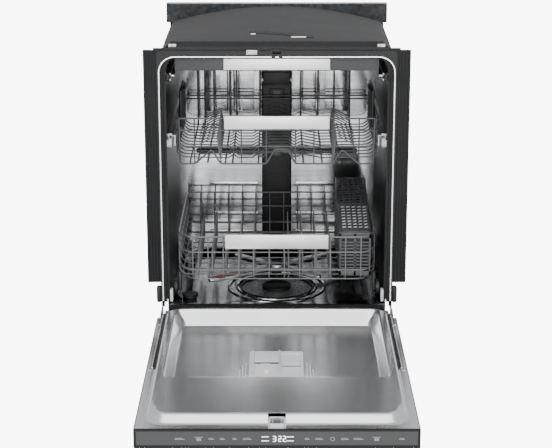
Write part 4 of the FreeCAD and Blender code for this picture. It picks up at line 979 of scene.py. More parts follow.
# ---- racks --------------------
@dataclass
class Bar:
    """Bright folded bar on a rack's front."""

    name: str
    body: str
    node: str
    low: float
    high: float
    back: float
    half: float = 130.0
    depth: float = 9.0

    def build(self) -> None:
        """Builds the bar's shell with rounded edges, a return along its back and three feet."""
        bar, half, low, high = Shape(), self.half, self.low, self.high
        face, inner = self.back - self.depth, self.back - self.depth + 1.2
        bar.box((-half, half), (face, face + 2.0), (low, high), 0.9, 3)
        for span in ((low, low + 1.8), (high - 1.8, high)):
            bar.box((-half + 1, half - 1), (inner, self.back), span, 0.6)
        for x in (-half + 1.0, half - 3.0):
            bar.box((x, x + 2.0), (inner, self.back), (low + 0.5, high - 0.5), 0.6)
        for x in (-96.0, 0.0, 96.0):
            bar.box((x - 6, x + 6), (inner + 0.3, self.back), (low + 2, high - 2), 0.8)
        bar.piece(self.name, self.body, SATIN_STEEL, self.node)


@dataclass
class Rack:
    """Sizes that the three racks share."""

    half: float = 250.0
    front: float = 26.0
    back: float = 462.0
    floor: float = 220.0
    rim: float = 337.0
    chamfer: Pair = (28.0, 40.0)
    wire: float = 2.2

    def ring(self, z: float, inset: float = 0.0) -> list[Point]:
        """Corners of a wire round the rack, its front corners cut back.

        Args:
            z: height.
            inset: distance inside the rack's outline.

        Returns:
            The corners.
        """
        x, y0, y1 = self.half - inset, self.front + inset, self.back - inset
        cx, cy = self.chamfer
        return [(-x + cx, y0, z), (x - cx, y0, z), (x, y0 + cy, z), (x, y1, z), (-x, y1, z), (-x, y0 + cy, z)]

    def hoops(self, wires: WireWork, places: Sequence[float], front: float, corner: Pair, bend: float,
              thick: float) -> None:
        """Adds wires that run down the front, along the floor and up the back.

        Args:
            wires: the wires they join.
            places: X of each wire.
            front: Y of the front.
            corner: depth and height of the slant at the foot.
            bend: how far from a corner the bend starts.
            thick: radius as a share of the usual one.
        """
        low, rim, back, (dy, dz) = self.floor, self.rim, self.back, corner
        for x in places:
            wires.run((x, front, rim), (x, front, low + dz), (x, front + dy, low), (x, back - dy, low),
                      (x, back, low + dz), (x, back, rim), bend=bend, thick=thick)

    def tine_line(self, wires: WireWork, y0: float, y1: float, count: int, steps: Sequence[Point],
                  bend: float = 8.0, thick: float = 0.85) -> None:
        """Adds a row of equal tines.

        Args:
            wires: the wires they join.
            y0: Y of the first.
            y1: Y of the last.
            count: how many there are.
            steps: X and Z of each corner of a tine, from its foot to its tip.
            bend: how far from a corner the bend starts.
            thick: radius as a share of the usual one.
        """
        for y in spaced(y0, y1, count):
            wires.run(*[(x, y, z) for x, z in steps], bend=bend, thick=thick, tip=True)


@dataclass
class LowerRack(Rack):
    """Deep lower rack on wheels."""

    levels: tuple[float, ...] = (297.0, 250.0)
    tine_rows: tuple[float, ...] = (-200.0, -165.0, -130.0, -95.0, 30.0, 66.0, 102.0, 138.0)
    fold_x: float = -60.0
    tine_height: float = 72.0
    wheel_rows: Pair = (84.0, 404.0)
    wheel_z: float = 186.6
    wheel_r: float = 20.0

    def build(self) -> None:
        """Builds the basket, tines, wheels and bar."""
        self.basket()
        self.folding()
        for name, y in zip(("lower_front_wheels", "lower_rear_wheels"), self.wheel_rows):
            self.wheels(name, y)
        Bar("lower_rack_bar", "lower_rack", "lower_rack_handle", 309.0, 346.0, self.front - 2.6).build()

    def basket(self) -> None:
        """Rings, bent uprights, floor wires and fixed tines."""
        w, f, r = WireWork(self.wire), self.floor, self.rim
        w.run(*self.ring(r), bend=14, closed=True)
        for z in self.levels:
            w.run(*self.ring(z), bend=14, thick=0.82, closed=True)
        w.run(*self.ring(f + 4.0, 8.0), bend=14, thick=0.82, closed=True)
        x_end, y0, y1 = self.half - self.chamfer[0] - 9.0, self.front, self.back
        self.hoops(w, spaced(-x_end, x_end, 12), y0, (14.0, 16.0), 8.0, 0.76)
        h = self.half
        for y in spaced(y0 + 48, y1 - 16, 9):
            w.run((-h, y, r), (-h, y, f + 18), (-h + 16, y, f + 3.4), (h - 16, y, f + 3.4), (h, y, f + 18),
                  (h, y, r), thick=0.76)
        for x in self.tine_rows:
            w.run((x, y0 + 22, f + 4.4), (x, y1 - 38, f + 4.4), thick=0.85)
            steps = ((x, f + 4.4), (x, f + 2.2 + self.tine_height))
            self.tine_line(w, y0 + 32, y1 - 48, 13, steps, thick=0.77)
        w.piece("lower_rack_wires", "lower_rack", NYLON_LIGHT, "lower_rack_basket")
        lugs = Shape()
        for y in self.wheel_rows:
            lugs.box((h - 4.0, h + 4.0), (y - 9, y + 9), (self.wheel_z - 9, f + 10), 2.0, 3)
            lugs.rod((h + 3.0, y, self.wheel_z), (h + 17.0, y, self.wheel_z), 4.0, sides=20, soft=0.8)
        lugs.mirrored().piece("lower_rack_wheel_lugs", "lower_rack", GREY_PP)

    def folding(self) -> None:
        """Row of tines that folds flat."""
        w, z, x = WireWork(2.0), self.floor + 4.8, self.fold_x
        w.run((x, self.front + 24, z), (x, self.back - 40, z))
        self.tine_line(w, self.front + 32, self.back - 48, 13, ((x, z), (x, z + self.tine_height + 2)))
        w.piece("lower_folding_tine_wires", "lower_folding_tines", NYLON_LIGHT, "lower_folding_tines")

    def wheels(self, node: str, y: float) -> None:
        """Pair of wheels with a rounded tread, a dished web and spokes.

        Args:
            node: the CAD node and body that the pair stands for.
            y: place along the depth.
        """
        r, x = self.wheel_r, self.half + 4.5
        profile = [(4.1, 0.5), (7.0, 0.5), (7.5, 3.5), (r - 5, 3.5), (r - 4, 0.6), (r - 1.2, 0.6), (r, 2.0),
                   (r, 9.0), (r - 1.2, 10.4), (r - 4, 10.4), (r - 5, 7.0), (7.5, 7.0), (7.0, 10.8),
                   (4.1, 10.8), (4.1, 0.5)]
        wheel = Shape().lathe(profile, (x, y, self.wheel_z), (1, 0, 0), 36)
        for i in range(6):
            a = math.tau * i / 6
            my, mz = y + 11.0 * math.cos(a), self.wheel_z + 11.0 * math.sin(a)
            wheel.box((x + 2.6, x + 7.8), (my - 4.6, my + 4.6), (mz - 0.9, mz + 0.9), 0.3, 1,
                      Matrix.Rotation(a, 4, "X"))
        wheel.mirrored().piece(node + "_moulded", node, GREY_PP, node)


@dataclass
class UpperRack(Rack):
    """Upper rack with cup tines, adjusters, runners and rollers."""

    floor: float = 530.0
    rim: float = 643.0
    levels: tuple[float, ...] = (613.0, 572.0)
    tine_x: float = 142.0
    tine_z: float = 534.8
    tine_peak: Pair = (8.0, 57.0)      # outwards and up from a tine's foot
    tine_wing: Pair = (56.0, 32.0)
    rail_z: float = 580.0
    chamfer: Pair = (8.0, 12.0)
    rear_levels: tuple[float, ...] = (690.0, 612.0, 603.0)
    rear_posts: tuple[float, ...] = (-216.0, -197.0, -172.0, -128.0, -110.0, -46.0, 66.0, 113.0, 157.0, 200.0)

    def build(self) -> None:
        """Builds the basket, tines, adjusters, runners, rollers and bar."""
        self.basket()
        for side, body in ((-1, "upper_left_tines"), (1, "upper_right_tines")):
            self.tines(side, body)
        self.adjusters()
        self.runners()
        Bar("upper_rack_bar", "upper_rack", "upper_rack_handle", 618.0, 651.0, self.front - 2.6).build()

    def basket(self) -> None:
        """Rings, uprights, a front foot wire with its humps and the bent floor wires."""
        w, f, r, y0, y1 = WireWork(self.wire), self.floor, self.rim, self.front, self.back
        for z, thick in ((r, 1.0), *((z, 0.85) for z in self.levels)):
            ring = self.ring(z)
            w.run(ring[4], ring[5], ring[0], ring[1], ring[2], ring[3], bend=10, thick=thick)
        for z in self.rear_levels:
            w.run((-248.0, y1, z), (248.0, y1, z), thick=0.95)
        foot = [(-240, f - 2), (-204, f - 2), (-162, f + 34), (-139, f - 2), (-26, f - 2), (-6, f + 34),
                (28, f + 34), (46, f - 2), (139, f - 2), (162, f + 34), (204, f - 2), (240, f - 2)]
        w.run((-242, y0, r), *[(x, y0, z) for x, z in foot], (242, y0, r), bend=6)
        for x in (-204.0, -139.0, -88.0, -26.0, 46.0, 92.0, 139.0, 204.0):
            w.run((x, y0, r), (x, y0, f - 2), thick=0.77)
        for x in self.rear_posts:
            w.run((x, y0 + 8, f), (x, y1 - 10, f), (x, y1, f + 12), (x, y1, self.rear_levels[0]), thick=1.1)
        shelf = [(-234, f + 6), (-120, f + 3.6), (-108, f + 14), (-100, f + 4), (-60, f + 4), (-50, f + 14),
                 (-36, f + 3.6), (-22, f + 20), (30, f + 20), (44, f + 3.6), (62, f + 14), (112, f + 3.6),
                 (234, f + 6)]
        for y in spaced(y0 + 40, y1 - 20, 12):
            w.run((-250, y, r), (-250, y, f + 16), *[(x, y, z) for x, z in shelf], (250, y, f + 16),
                  (250, y, r), bend=6, thick=0.77)
        w.piece("upper_rack_wires", "upper_rack", NYLON, "upper_rack_basket")

    def tines(self, side: int, body: str) -> None:
        """Row of peaked cup tines.

        Args:
            side: -1 for the left and 1 for the right.
            body: the CAD body and node.
        """
        w, x, z = WireWork(2.0), side * self.tine_x, self.tine_z
        y0, y1 = self.front + 30, self.back - 60
        w.run((x, y0, z), (x, y1, z))
        peak, wing = ((x + side * out, z + up) for out, up in (self.tine_peak, self.tine_wing))
        self.tine_line(w, y0 + 8, y1 - 8, 12, ((x, z), peak, wing), bend=4)
        w.piece(body + "_wires", body, NYLON_LIGHT, body)

    def adjusters(self) -> None:
        """Lever housings with grip ribs."""
        a = Shape()
        x1 = self.half - 3.2
        a.box((x1 - 8, x1), (120.0, 260.0), (600.0, 695.0), 3.0, 3)
        a.box((x1 - 14, x1 - 7), (150.0, 230.0), (681.0, 693.0), 2.0, 3)
        for y in spaced(156.0, 224.0, 9):
            a.box((x1 - 9.5, x1 - 7), (y - 1.2, y + 1.2), (604.0, 672.0), 0.6)
        a.mirrored().piece("rack_adjuster_levers", "upper_rack", BLACK_PP_AND_SHADE, "rack_adjusters")

    def runners(self) -> None:
        """Dresses the runners and rails, and builds the rollers and the rails' end caps."""
        dress(ARM_STEEL, "rack_sliders", "rack_rails")
        profile = [(4.06, 0.0), (6.0, 0.0), (6.4, 1.0), (9.6, 1.0), (10.0, 0.0), (11.4, 0.0), (12.0, 0.8),
                   (12.0, 6.6), (11.4, 7.4), (4.06, 7.4), (4.06, 0.0)]
        roller = Shape().lathe(profile, (261.1, 32.0, self.rail_z), (1, 0, 0), 32)
        roller.mirrored().piece("rail_rollers_turned", "rail_rollers", SILVER_ABS_AND_HIGHLIGHT, "rail_rollers")
        caps = Shape()
        caps.box((262.0, 271.5), (8.0, 21.5), (738.0, 758.0), 3.0, 3)
        caps.mirrored().piece("rail_end_caps", "cabinet", BLACK_PP_AND_SHADE)


@dataclass
class ThirdRack(Rack):
    """Shallow top tray."""

    floor: float = 761.0
    rim: float = 775.0
    rail: float = 748.0
    top: float = 794.5
    chamfer: Pair = (6.0, 8.0)

    def build(self) -> None:
        """Builds the tray's wires, its front panel, its runners and its bar."""
        w, f, r, y0, y1 = WireWork(self.wire), self.floor, self.rim, self.front + 0.5, self.back
        w.run(*self.ring(r, 0.5), bend=8, closed=True)
        w.run(*self.ring(f + 3, 3.0), bend=8, thick=0.8, closed=True)
        self.hoops(w, spaced(-228, 228, 14), y0, (6.0, 4.0), 3.0, 0.72)
        for y in spaced(y0 + 30, y1 - 20, 8):
            for x in (-self.half, self.half):
                w.run((x, y, r), (x, y, self.rail), thick=0.72)
            w.run((1 - self.half, y, f + 3), (self.half - 1, y, f + 3), thick=0.72)
        w.piece("third_rack_wires", "third_rack", NYLON, "third_rack_basket")
        panel = Shape()
        panel.box((-self.half, self.half), (y0 - 2.5, y0 - 0.4), (763.0, self.top), 0.9, 3)
        panel.box((-self.half, self.half), (y0 - 2.3, y0 + 4.0), (self.top - 3.5, self.top - 0.5), 1.0)
        panel.piece("third_rack_front_panel", "third_rack", GREY_PP)
        runner = Shape().box((251.8, 265.0), (y0 + 10, y1 - 10), (self.rail - 2.5, self.rail + 2.5), 1.0)
        runner.mirrored().piece("third_rack_runners", "third_rack", ARM_STEEL)
        Bar("third_rack_bar", "third_rack", "third_rack_handle", 766.0, self.top, self.front - 2.0).build()


@dataclass
class CutleryBasket:
    """Perforated basket with a sloping top and two lids."""

    x: Pair = (158.0, 240.0)
    y: Pair = (42.0, 366.0)
    low: float = 228.0
    high: float = 344.0
    rise: float = 60.0
    wall: float = 2.0

    def slope(self) -> float:
        """Returns the angle of the top in degrees."""
        return math.degrees(math.atan2(self.rise, self.y[1] - self.y[0]))

    def top_at(self, y: float) -> float:
        """Returns the height of the top at a place along the depth."""
        return self.high + self.rise * (y - self.y[0]) / (self.y[1] - self.y[0])

    def build(self) -> None:
        """Builds the basket and its lids."""
        self.basket()
        self.lids()

    def basket(self) -> None:
        """Walls of slats and posts between solid bands."""
        b, (x0, x1), (y0, y1), w = Shape(), self.x, self.y, self.wall
        b.box((x0, x1), (y0, y1), (self.low, self.low + w), 0.6)
        for y in (y0, y1 - w):
            top = self.top_at(y) - (0 if y == y0 else 0.4)
            b.box((x0, x1), (y, y + w), (self.low, self.low + 14), 0.6)
            b.box((x0, x1), (y, y + w), (top - 16, top), 0.6)
            for z in spaced(self.low + 22, top - 26, 9):
                b.box((x0 + 4, x1 - 4), (y, y + w), (z - 2.2, z + 2.2), 0.5)
            for x in (x0, (x0 + x1) / 2 - 3, x1 - 6):
                b.box((x, x + 6), (y, y + w), (self.low + 2, top - 2), 0.5)
        for x in (x0, x1 - w):
            b.box((x, x + w), (y0, y1), (self.low, self.low + 14), 0.6)
            low, high = self.high, self.high + self.rise
            b.prism([(x, y0, low - 16), (x, y1, high - 16), (x, y1, high), (x, y0, low)], (w, 0, 0), 0.5)
            for z in spaced(self.low + 22, self.high - 26, 6):
                b.box((x, x + w), (y0 + 4, y1 - 4), (z - 3.0, z + 3.0), 0.5)
            for y in spaced(y0, y1 - 8, 12):
                b.box((x, x + w), (y, y + 8), (self.low + 2, self.top_at(y) - 2), 0.5)
        for y in spaced(y0, y1, 5)[1:-1]:
            b.box((x0 + w, x1 - w), (y - 1, y + 1), (self.low + w, self.high - 14), 0.4)
        b.piece("cutlery_basket_moulded", "cutlery_basket", BASKET_PP, "cutlery_basket")

    def lids(self) -> None:
        """Lids with slanted openings, hinged along the inner edge, with light grey bars painted on the front
        lid as the highlights on its slot edges.
        """
        lids, (x0, x1), (y0, y1) = Shape(), self.x, self.y
        z, mid = self.high + 0.5, (self.y[0] + self.y[1]) / 2
        for a, b in ((y0 + 1, mid - 1), (mid + 1, y1 - 1)):
            band = 16.0 if a < mid - 10 else 6.0
            lids.box((x0 + 2, x1 - 1), (a, a + band), (z, z + 2.4), 0.7)
            lids.box((x0 + 2, x1 - 1), (b - 8, b), (z, z + 2.4), 0.7)
            lids.box((x0 + 2, x0 + 9), (a, b), (z, z + 2.4), 0.7)
            lids.box((x1 - 8, x1 - 1), (a, b), (z, z + 2.4), 0.7)
            for y in spaced(a + band + 11, b - 18, 9):
                lids.box((x0 + 6, x1 - 5), (y - 2.6, y + 2.6), (z, z + 2.2), 0.5, 1,
                         Matrix.Rotation(0.12, 4, "Z"))
            for x in spaced(x0 + 19, x1 - 18, 4):
                lids.box((x - 2.4, x + 2.4), (a + band - 2, b - 6), (z, z + 2.0), 0.5, 1)
            lids.rod((x0 + 3.0, a, z + 2.4), (x0 + 3.0, b, z + 2.4), 2.4, sides=12, soft=0.5)
        # Light grey bars painted as highlights on the front lid's slot edges.
        slot_highlights = Shape()
        for y in spaced(y0 + 26, mid - 20, 8):
            for x in spaced(x0 + 14, x1 - 12, 5):
                slot_highlights.box((x - 4.6, x + 4.6), (y - 2.0, y + 2.0), (z + 1.9, z + 3.0), 0.4, 1,
                         Matrix.Rotation(0.3, 4, "Z"))
        slot_highlights.turned((0, y0, self.high), "X", self.slope())
        slot_highlights.piece("cutlery_lid_slot_highlights", "cutlery_lids", SILVER_ABS_AND_HIGHLIGHT)
        lids.turned((0, y0, self.high), "X", self.slope())
        lids.piece("cutlery_lids_moulded", "cutlery_lids", BASKET_PP, "cutlery_lids")


# ---- door --------------------
@dataclass
class Rounded:
    """Rounded rectangle on the door, seen from above."""

    half: float
    near: float
    far: float
    radius: float

    def outside(self, x: float, y: float) -> float:
        """Returns how far a point lies outside the outline, negative inside it."""
        qx = abs(x) - self.half + self.radius
        qy = abs(y - (self.near + self.far) / 2) - (self.far - self.near) / 2 + self.radius
        return math.hypot(max(qx, 0), max(qy, 0)) + min(max(qx, qy), 0) - self.radius

    def ramp(self, inner: "Rounded", x: float, y: float, ease: float) -> float:
        """Height of a slope that starts at this outline and ends at another inside it.

        Args:
            inner: the outline where the slope ends.
            x: place across the door.
            y: place along the door.
            ease: share of the slope that each end's rounding takes.

        Returns:
            0 outside, 1 inside the inner outline and a straight slope with rounded ends between them.
        """
        out, inn = self.outside(x, y), inner.outside(x, y)
        if out >= 0 or inn <= 0:
            return float(inn <= 0)
        t, steep = -out / (inn - out), 1.0 / (1.0 - ease)
        if t < ease:
            return steep * t * t / (2 * ease)
        if t > 1 - ease:
            return 1 - steep * (1 - t) ** 2 / (2 * ease)
        return steep * (t - ease / 2)


@dataclass
class Door:
    """Door with its drawn liner, outer panel, controls, handle and latch."""

    half: float = 300.0
    near: float = -741.0
    far: float = -2.0
    flange: float = 151.0
    ridge: float = 14.0
    recess_floor: float = 130.0
    sheet: float = 1.2
    notch: Pair = (283.0, -57.0)
    cup_x: Pair = (-61.0, 59.0)            # opening for the dispenser
    cup_y: Pair = (-407.0, -261.0)
    latch_half: float = 19.0
    latch_y: Pair = (-731.0, -690.0)
    latch_z: Pair = (125.0, 156.6)
    screw_rows: Pair = (-410.0, -110.0)
    handle_z: float = 64.0
    handle_y: float = -684.0
    handle_half: float = 262.0
    handle_r: float = 9.0
    post_x: float = 236.0
    mark_y: Pair = (-747.45, -747.1)       # just proud of the control strip's lens
    strip_z: float = 130.4
    digit_wide: float = 6.2
    digit_half: float = 5.8
    segment: float = 1.5

    def build(self) -> None:
        """Builds the liner and trim and dresses the rest."""
        dress(DARK_STEEL, "door_outer_panel", "control_panel")
        dress(LENS, "touch_display")
        dress(ZINC, "hinge_arms", "latch_claw")
        self.liner()
        self.strips()
        self.handle()
        self.latch()
        self.marks()

    def liner(self) -> None:
        """Draws the liner from a grid whose lines crowd at its bends."""
        foot, crest = Rounded(280.0, -728.0, -16.0, 52.0), Rounded(272.0, -684.0, -24.0, 40.0)
        lip, floor = Rounded(257.0, -488.0, -27.0, 16.0), Rounded(235.0, -455.0, -64.0, 12.0)
        side = spaced(226, 282, 29) + [self.notch[0], 288.0, 294.0, self.half]
        across = sorted({-x for x in side} | {*side, *spaced(-210, 210, 15), *self.cup_x, -self.latch_half,
                                              self.latch_half})
        along = sorted({*spaced(self.near, -676, 27), *spaced(-664, -500, 10), *spaced(-492, -446, 24),
                        *spaced(-432, -80, 20), *spaced(-72, -10, 32), *self.latch_y, *self.cup_y,
                        self.notch[1], self.far})
        liner = Shape().grid(across, along)
        drop = self.flange + self.ridge - self.recess_floor
        for vert in liner.bm.verts:
            x, y = vert.co.x, vert.co.y
            up, down = foot.ramp(crest, x, y, 0.3), lip.ramp(floor, x, y, 0.14)
            vert.co.z = self.flange + self.ridge * up - drop * down - 0.05
        gone = [f for f in liner.bm.faces if self.open_at(*f.calc_center_median()[:2])]
        bmesh.ops.delete(liner.bm, geom=gone, context="FACES")
        bmesh.ops.recalc_face_normals(liner.bm, faces=liner.bm.faces)
        if sum(f.normal.z for f in liner.bm.faces) < 0:
            bmesh.ops.reverse_faces(liner.bm, faces=liner.bm.faces)
        bmesh.ops.solidify(liner.bm, geom=liner.bm.faces[:], thickness=self.sheet)
        liner.piece("door_liner_drawn", "door", LINER_STEEL, "door_liner", smooth=1.0)

    def open_at(self, x: float, y: float) -> bool:
        """Tells whether the liner is cut away at a point: at the dispenser, the latch or a hinge."""
        return (self.cup_x[0] < x < self.cup_x[1] and self.cup_y[0] < y < self.cup_y[1]
                or abs(x) < self.latch_half and self.latch_y[0] < y < self.latch_y[1]
                or abs(x) > self.notch[0] and y > self.notch[1])

    def strips(self) -> None:
        """Strips and screws beside the ridge: black strips painted as its shadow line, bright steel strips
        painted as the highlight along its top; and the outer panel's turned-up edges.
        """
        # Black strip painted as the shadow line beside the ridge.
        dark = Shape().box((281.0, 284.6), (-402.0, -30.0), (150.5, 153.2), 0.8)
        dark.mirrored().piece("ridge_shadow_line_strips", "door", BLACK_PP_AND_SHADE)
        # Bright steel strip painted as the highlight on the ridge's top.
        bright = Shape().box((284.8, 288.2), (-398.0, -58.0), (150.8, 152.6), 0.6)
        bright.mirrored().piece("ridge_highlight_strips", "door", EDGE_AND_HIGHLIGHT_STEEL)
        screws = Shape()
        for y in self.screw_rows:
            screws.rod((292.5, y, 150.8), (292.5, y, 152.8), 3.8, 3.2, 20, 0.5)
            screws.rod((292.5, y, 152.6), (292.5, y, 153.0), 1.6, 1.2, 6)
        screws.mirrored().piece("liner_screws", "door", ZINC)
        edge = Shape().box((self.half - 1.8, self.half), (self.near, self.notch[1] - 2), (140.0, 151.9), 0.4)
        edge.mirrored().piece("door_side_edges", "door", DARK_STEEL)

    def handle(self) -> None:
        """Bar with turned ends on two shaped posts."""
        y, z, end, r, cut = self.handle_y, self.handle_z, self.handle_half, self.handle_r, 1.6
        bar = Shape().lathe([(0, -end), (r - cut, -end), (r, -end + cut), (r, end - cut), (r - cut, end),
                             (0, end)], (0, y, z), (1, 0, 0), 32)
        for x in (-self.post_x, self.post_x):
            bar.rod((x, y, z + 2), (x, y, 103.0), 7.0, 8.0, 28)
            bar.rod((x, y, 102.5), (x, y, 107.9), 11.0, 12.0, 28, 0.8)
        bar.piece("door_handle_turned", "door", SATIN_STEEL, "door_handle")

    def latch(self) -> None:
        """Latch insert: an open framed block with a floor and two guides."""
        insert, x, (y0, y1), (z0, z1), wall = Shape(), self.latch_half, self.latch_y, self.latch_z, 5.0
        for span in ((-x, -x + wall), (x - wall, x)):
            insert.box(span, (y0, y1), (z0, z1), 1.2, 3)
        for span in ((y0, y0 + wall), (y1 - wall, y1)):
            insert.box((-x + 1, x - 1), span, (z0, z1), 1.2, 3)
        insert.box((-x + 1, x - 1), (y0 + 1, y1 - 1), (z0, z0 + 4), 0.6)
        for guide in (-9.5, 8.5):
            insert.box((guide, guide + 1.2), (y0 + 3, y1 - 3), (z0 + 3, z1 - 3), 0.4)
        insert.piece("latch_insert", "door", SILVER_ABS_AND_HIGHLIGHT, "latch_housing")

    def marks(self) -> None:
        """Plain touch marks and a time in segments on the control strip."""
        ink, lit, mid = Shape(), Shape(), self.strip_z
        for x, wide in ((-203, 20), (-137, 12), (-114, 10), (-88, 9), (-62, 18), (63, 10), (88, 16),
                        (142, 16), (170, 20), (261, 12)):
            self.stroke(ink, (x - wide / 2, x + wide / 2), (128.4, 130.0))
            self.stroke(ink, (x - wide / 2, x + wide / 3), (131.2, 132.4))
        for x in (-163.0, 208.0):
            self.stroke(ink, (x - 8, x + 8), (133.4, 134.8))
            self.stroke(ink, (x - 5, x + 5), (126.0, 131.6))
        ink.lathe([(3.4, -0.1), (4.6, -0.1), (4.6, 0.1), (3.4, 0.1), (3.4, -0.1)],
                  (116.0, sum(self.mark_y) / 2, mid), (0, 1, 0), 20)
        ink.piece("touch_marks", "door", PRINT)
        for x in (-24.0, 28.0):
            for z in (mid + 4.6, mid - 4.4):
                self.stroke(lit, (x - 8, x + 7), (z - 0.8, z + 0.8))
        for x, value in ((-8.6, 3), (3.0, 2), (12.4, 2)):
            self.digit(lit, x, value)
        for z in (127.6, 133.0):
            self.stroke(lit, (-2.0, -0.4), (z - 0.8, z + 0.8))
        lit.piece("lit_digits", "door", LIT)

    def stroke(self, shape: Shape, x: Pair, z: Pair) -> None:
        """Adds one flat mark to a shape."""
        shape.box(x, self.mark_y, z, 0.1, 1)

    def digit(self, shape: Shape, x: float, value: int) -> None:
        """Adds one seven-segment digit.

        Args:
            shape: the shape it goes into.
            x: its left edge.
            value: the number shown, 2 or 3.
        """
        mid, half, bar, right = self.strip_z, self.digit_half, self.segment, x + self.digit_wide
        for z in (mid - half, mid, mid + half):
            self.stroke(shape, (x, right), (z - bar / 2, z + bar / 2))
        self.stroke(shape, (right - bar, right), (mid, mid + half))
        left = x if value == 2 else right - bar
        self.stroke(shape, (left, left + bar), (mid - half, mid))


@dataclass
class Dispenser:
    """Detergent and rinse-aid dispenser in the liner."""

    x: Pair = (-64.0, 62.0)
    base: float = 130.2
    top: float = 138.0
    fin_start: float = -404.0
    fin_end: float = -330.0
    fin_step: float = 7.0
    lid_x: Pair = (-53.5, 5.0)
    lid_y: Pair = (-334.0, -266.0)
    lid_z: Pair = (138.5, 141.5)
    button: tuple[float, ...] = (-24.0, -392.0, 133.0)
    seam_z: Pair = (137.6, 139.0)

    def build(self) -> None:
        """Dresses the housing and builds lids, button, side fins and dark seams."""
        dress(SILVER_ABS_AND_HIGHLIGHT, "dispenser_body", "rinse_aid_lid")
        fins = Shape()
        for side, edge in zip((-1, 1), self.x):
            for i in range(3):
                x = edge + side * (8.0 + self.fin_step * i)
                fins.box((x - 1.4, x + 1.4), (self.fin_start, self.fin_end - 16 * i),
                         (self.base - 0.6, self.top - 1.0 - i), 1.2, 3)
        fins.piece("dispenser_fins", "door", SILVER_ABS_AND_HIGHLIGHT)
        lid, z = Shape().box(self.lid_x, self.lid_y, self.lid_z, 1.0, 3), self.lid_z[1] - 0.3
        lid.box((-36.0, -12.0), (-330.0, -325.0), (z, z + 3.3), 1.2, 3)
        for x in (-46.0, -3.0):
            lid.box((x, x + 3.0), (-326.0, -272.0), (z, z + 1.0), 0.5)
        lid.piece("detergent_lid_moulded", "detergent_lid", SILVER_ABS_AND_HIGHLIGHT, "detergent_lid")
        button = Shape().lathe([(0, 0), (6.6, 0), (6.6, 7.8), (6.0, 8.7), (4.6, 9.0), (3.4, 8.6), (0, 8.5)],
                               self.button, (0, 0, 1), 28)
        button.piece("lid_button_turned", "lid_button", WHITE_PP, "lid_button")
        seams = Shape()
        for x0, x1, y0, y1 in ((-56.0, 7.5, -337.0, -262.0), (11.0, 56.0, -357.0, -281.0)):
            for span in ((x0, x0 + 1.8), (x1 - 1.8, x1)):
                seams.box(span, (y0, y1), self.seam_z, 0.2)
            for span in ((y0, y0 + 3.2), (y1 - 3.2, y1)):
                seams.box((x0, x1), span, self.seam_z, 0.2)
        seams.piece("dispenser_seams", "door", BLACK_PP_AND_SHADE)
        dashes = Shape()
        for x in (-14.0, -6.0, -46.0):
            dashes.box((x, x + 6.0), (-340.2, -337.4), (self.top, self.top + 1.0), 0.3)
        dashes.piece("dispenser_dashes", "door", BLACK_PP_AND_SHADE)


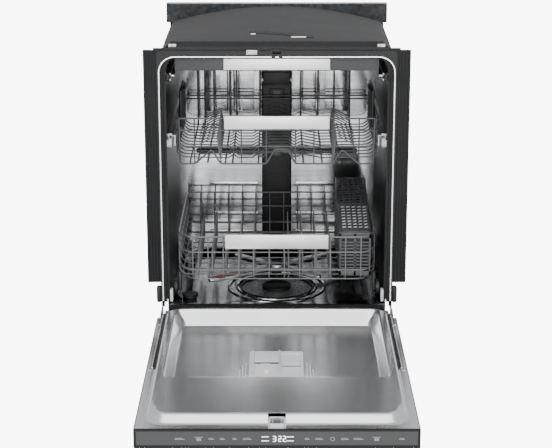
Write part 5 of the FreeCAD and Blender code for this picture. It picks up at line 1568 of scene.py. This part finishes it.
@dataclass
class Studio:
    """Pale floor, soft lights and the camera."""

    floor_half: float = 20.0       # metres, as all sizes here
    sky: str = "f6f7f9"
    sky_strength: float = 0.8
    lights: tuple[tuple, ...] = (  # name, place, height aimed at, side and watts
        ("key", (-1.6, -3.2, 3.2), 0.4, 2.6, 110.0), ("fill", (2.2, -2.8, 2.2), 0.4, 2.4, 60.0),
        ("top", (0.0, -0.4, 3.4), 0.3, 2.6, 60.0), ("front", (0.0, -4.6, 0.9), 0.5, 2.4, 100.0))

    def build(self) -> None:
        """Makes the floor, the lights, the world and the camera."""
        self.floor()
        world = bpy.data.worlds.new("studio")
        bpy.context.scene.world = world
        world.use_nodes = True
        sky = world.node_tree.nodes["Background"].inputs
        sky["Color"].default_value, sky["Strength"].default_value = linear(self.sky), self.sky_strength
        for name, place, aim_z, size, power in self.lights:
            self.light(name, place, (0.0, 0.0, aim_z), size, power)
        self.camera()

    def floor(self) -> None:
        """Pale floor that is lit up where the camera or a mirror looks at it, as a white backdrop."""
        mesh = bpy.data.meshes.new("floor")
        made = bmesh.new()
        bmesh.ops.create_grid(made, x_segments=1, y_segments=1, size=self.floor_half)
        made.to_mesh(mesh)
        made.free()
        floor = bpy.data.objects.new("floor", mesh)
        bpy.context.scene.collection.objects.link(floor)
        paint = bpy.data.materials.new("floor_paint")
        paint.use_nodes = True
        tree = paint.node_tree
        path = add(tree, "LightPath")
        mirrored = add(tree, "Math", {"operation": "MULTIPLY_ADD", 1: 1.1, 2: 0.2},
                       {0: path.outputs["Is Glossy Ray"]})
        glow = add(tree, "Math", {"operation": "MULTIPLY_ADD", 1: 8.0},
                   {0: path.outputs["Is Camera Ray"], 2: mirrored.outputs[0]})
        surface = Surface(tree, tree.nodes["Principled BSDF"], path.outputs[0])
        surface.set({"Base Color": linear("b4b4b4"), "Roughness": 0.9, "Emission Color": linear("ffffff")})
        tree.links.new(glow.outputs[0], surface.shader.inputs["Emission Strength"])
        mesh.materials.append(paint)

    @staticmethod
    def light(name: str, place: Point, aim: Point, size: float, power: float) -> None:
        """Adds one soft area light.

        Args:
            name: its name.
            place: where it stands, in metres.
            aim: the point it faces.
            size: side of its square, in metres.
            power: watts.
        """
        lamp = bpy.data.lights.new(name, "AREA")
        lamp.size, lamp.energy = size, power
        holder = bpy.data.objects.new(name, lamp)
        bpy.context.scene.collection.objects.link(holder)
        holder.location = place
        holder.rotation_euler = (Vector(aim) - Vector(place)).to_track_quat("-Z", "Y").to_euler()

    @staticmethod
    def camera() -> None:
        """Camera a little above the object, looking slightly down into the tub."""
        lens = bpy.data.cameras.new("camera")
        lens.sensor_width, lens.lens = 36.0, 101.53
        holder = bpy.data.objects.new("camera", lens)
        bpy.context.scene.collection.objects.link(holder)
        holder.location = (-0.002, -3.738, 1.470)
        holder.rotation_euler = (math.radians(73.73), 0.0, 0.0)
        bpy.context.scene.camera = holder


def main() -> None:
    """Builds every sub-assembly in order."""
    logging.basicConfig(level=logging.INFO)
    for part in (Tub(), Seals(), Blanket(), Cabinet(), WaterWorks(), LowerRack(), UpperRack(), ThirdRack(),
                 CutleryBasket(), Door(), Dispenser(), Studio()):
        part.build()
        log.info("finished %s", type(part).__name__)


if __name__ == "__main__":
    main()
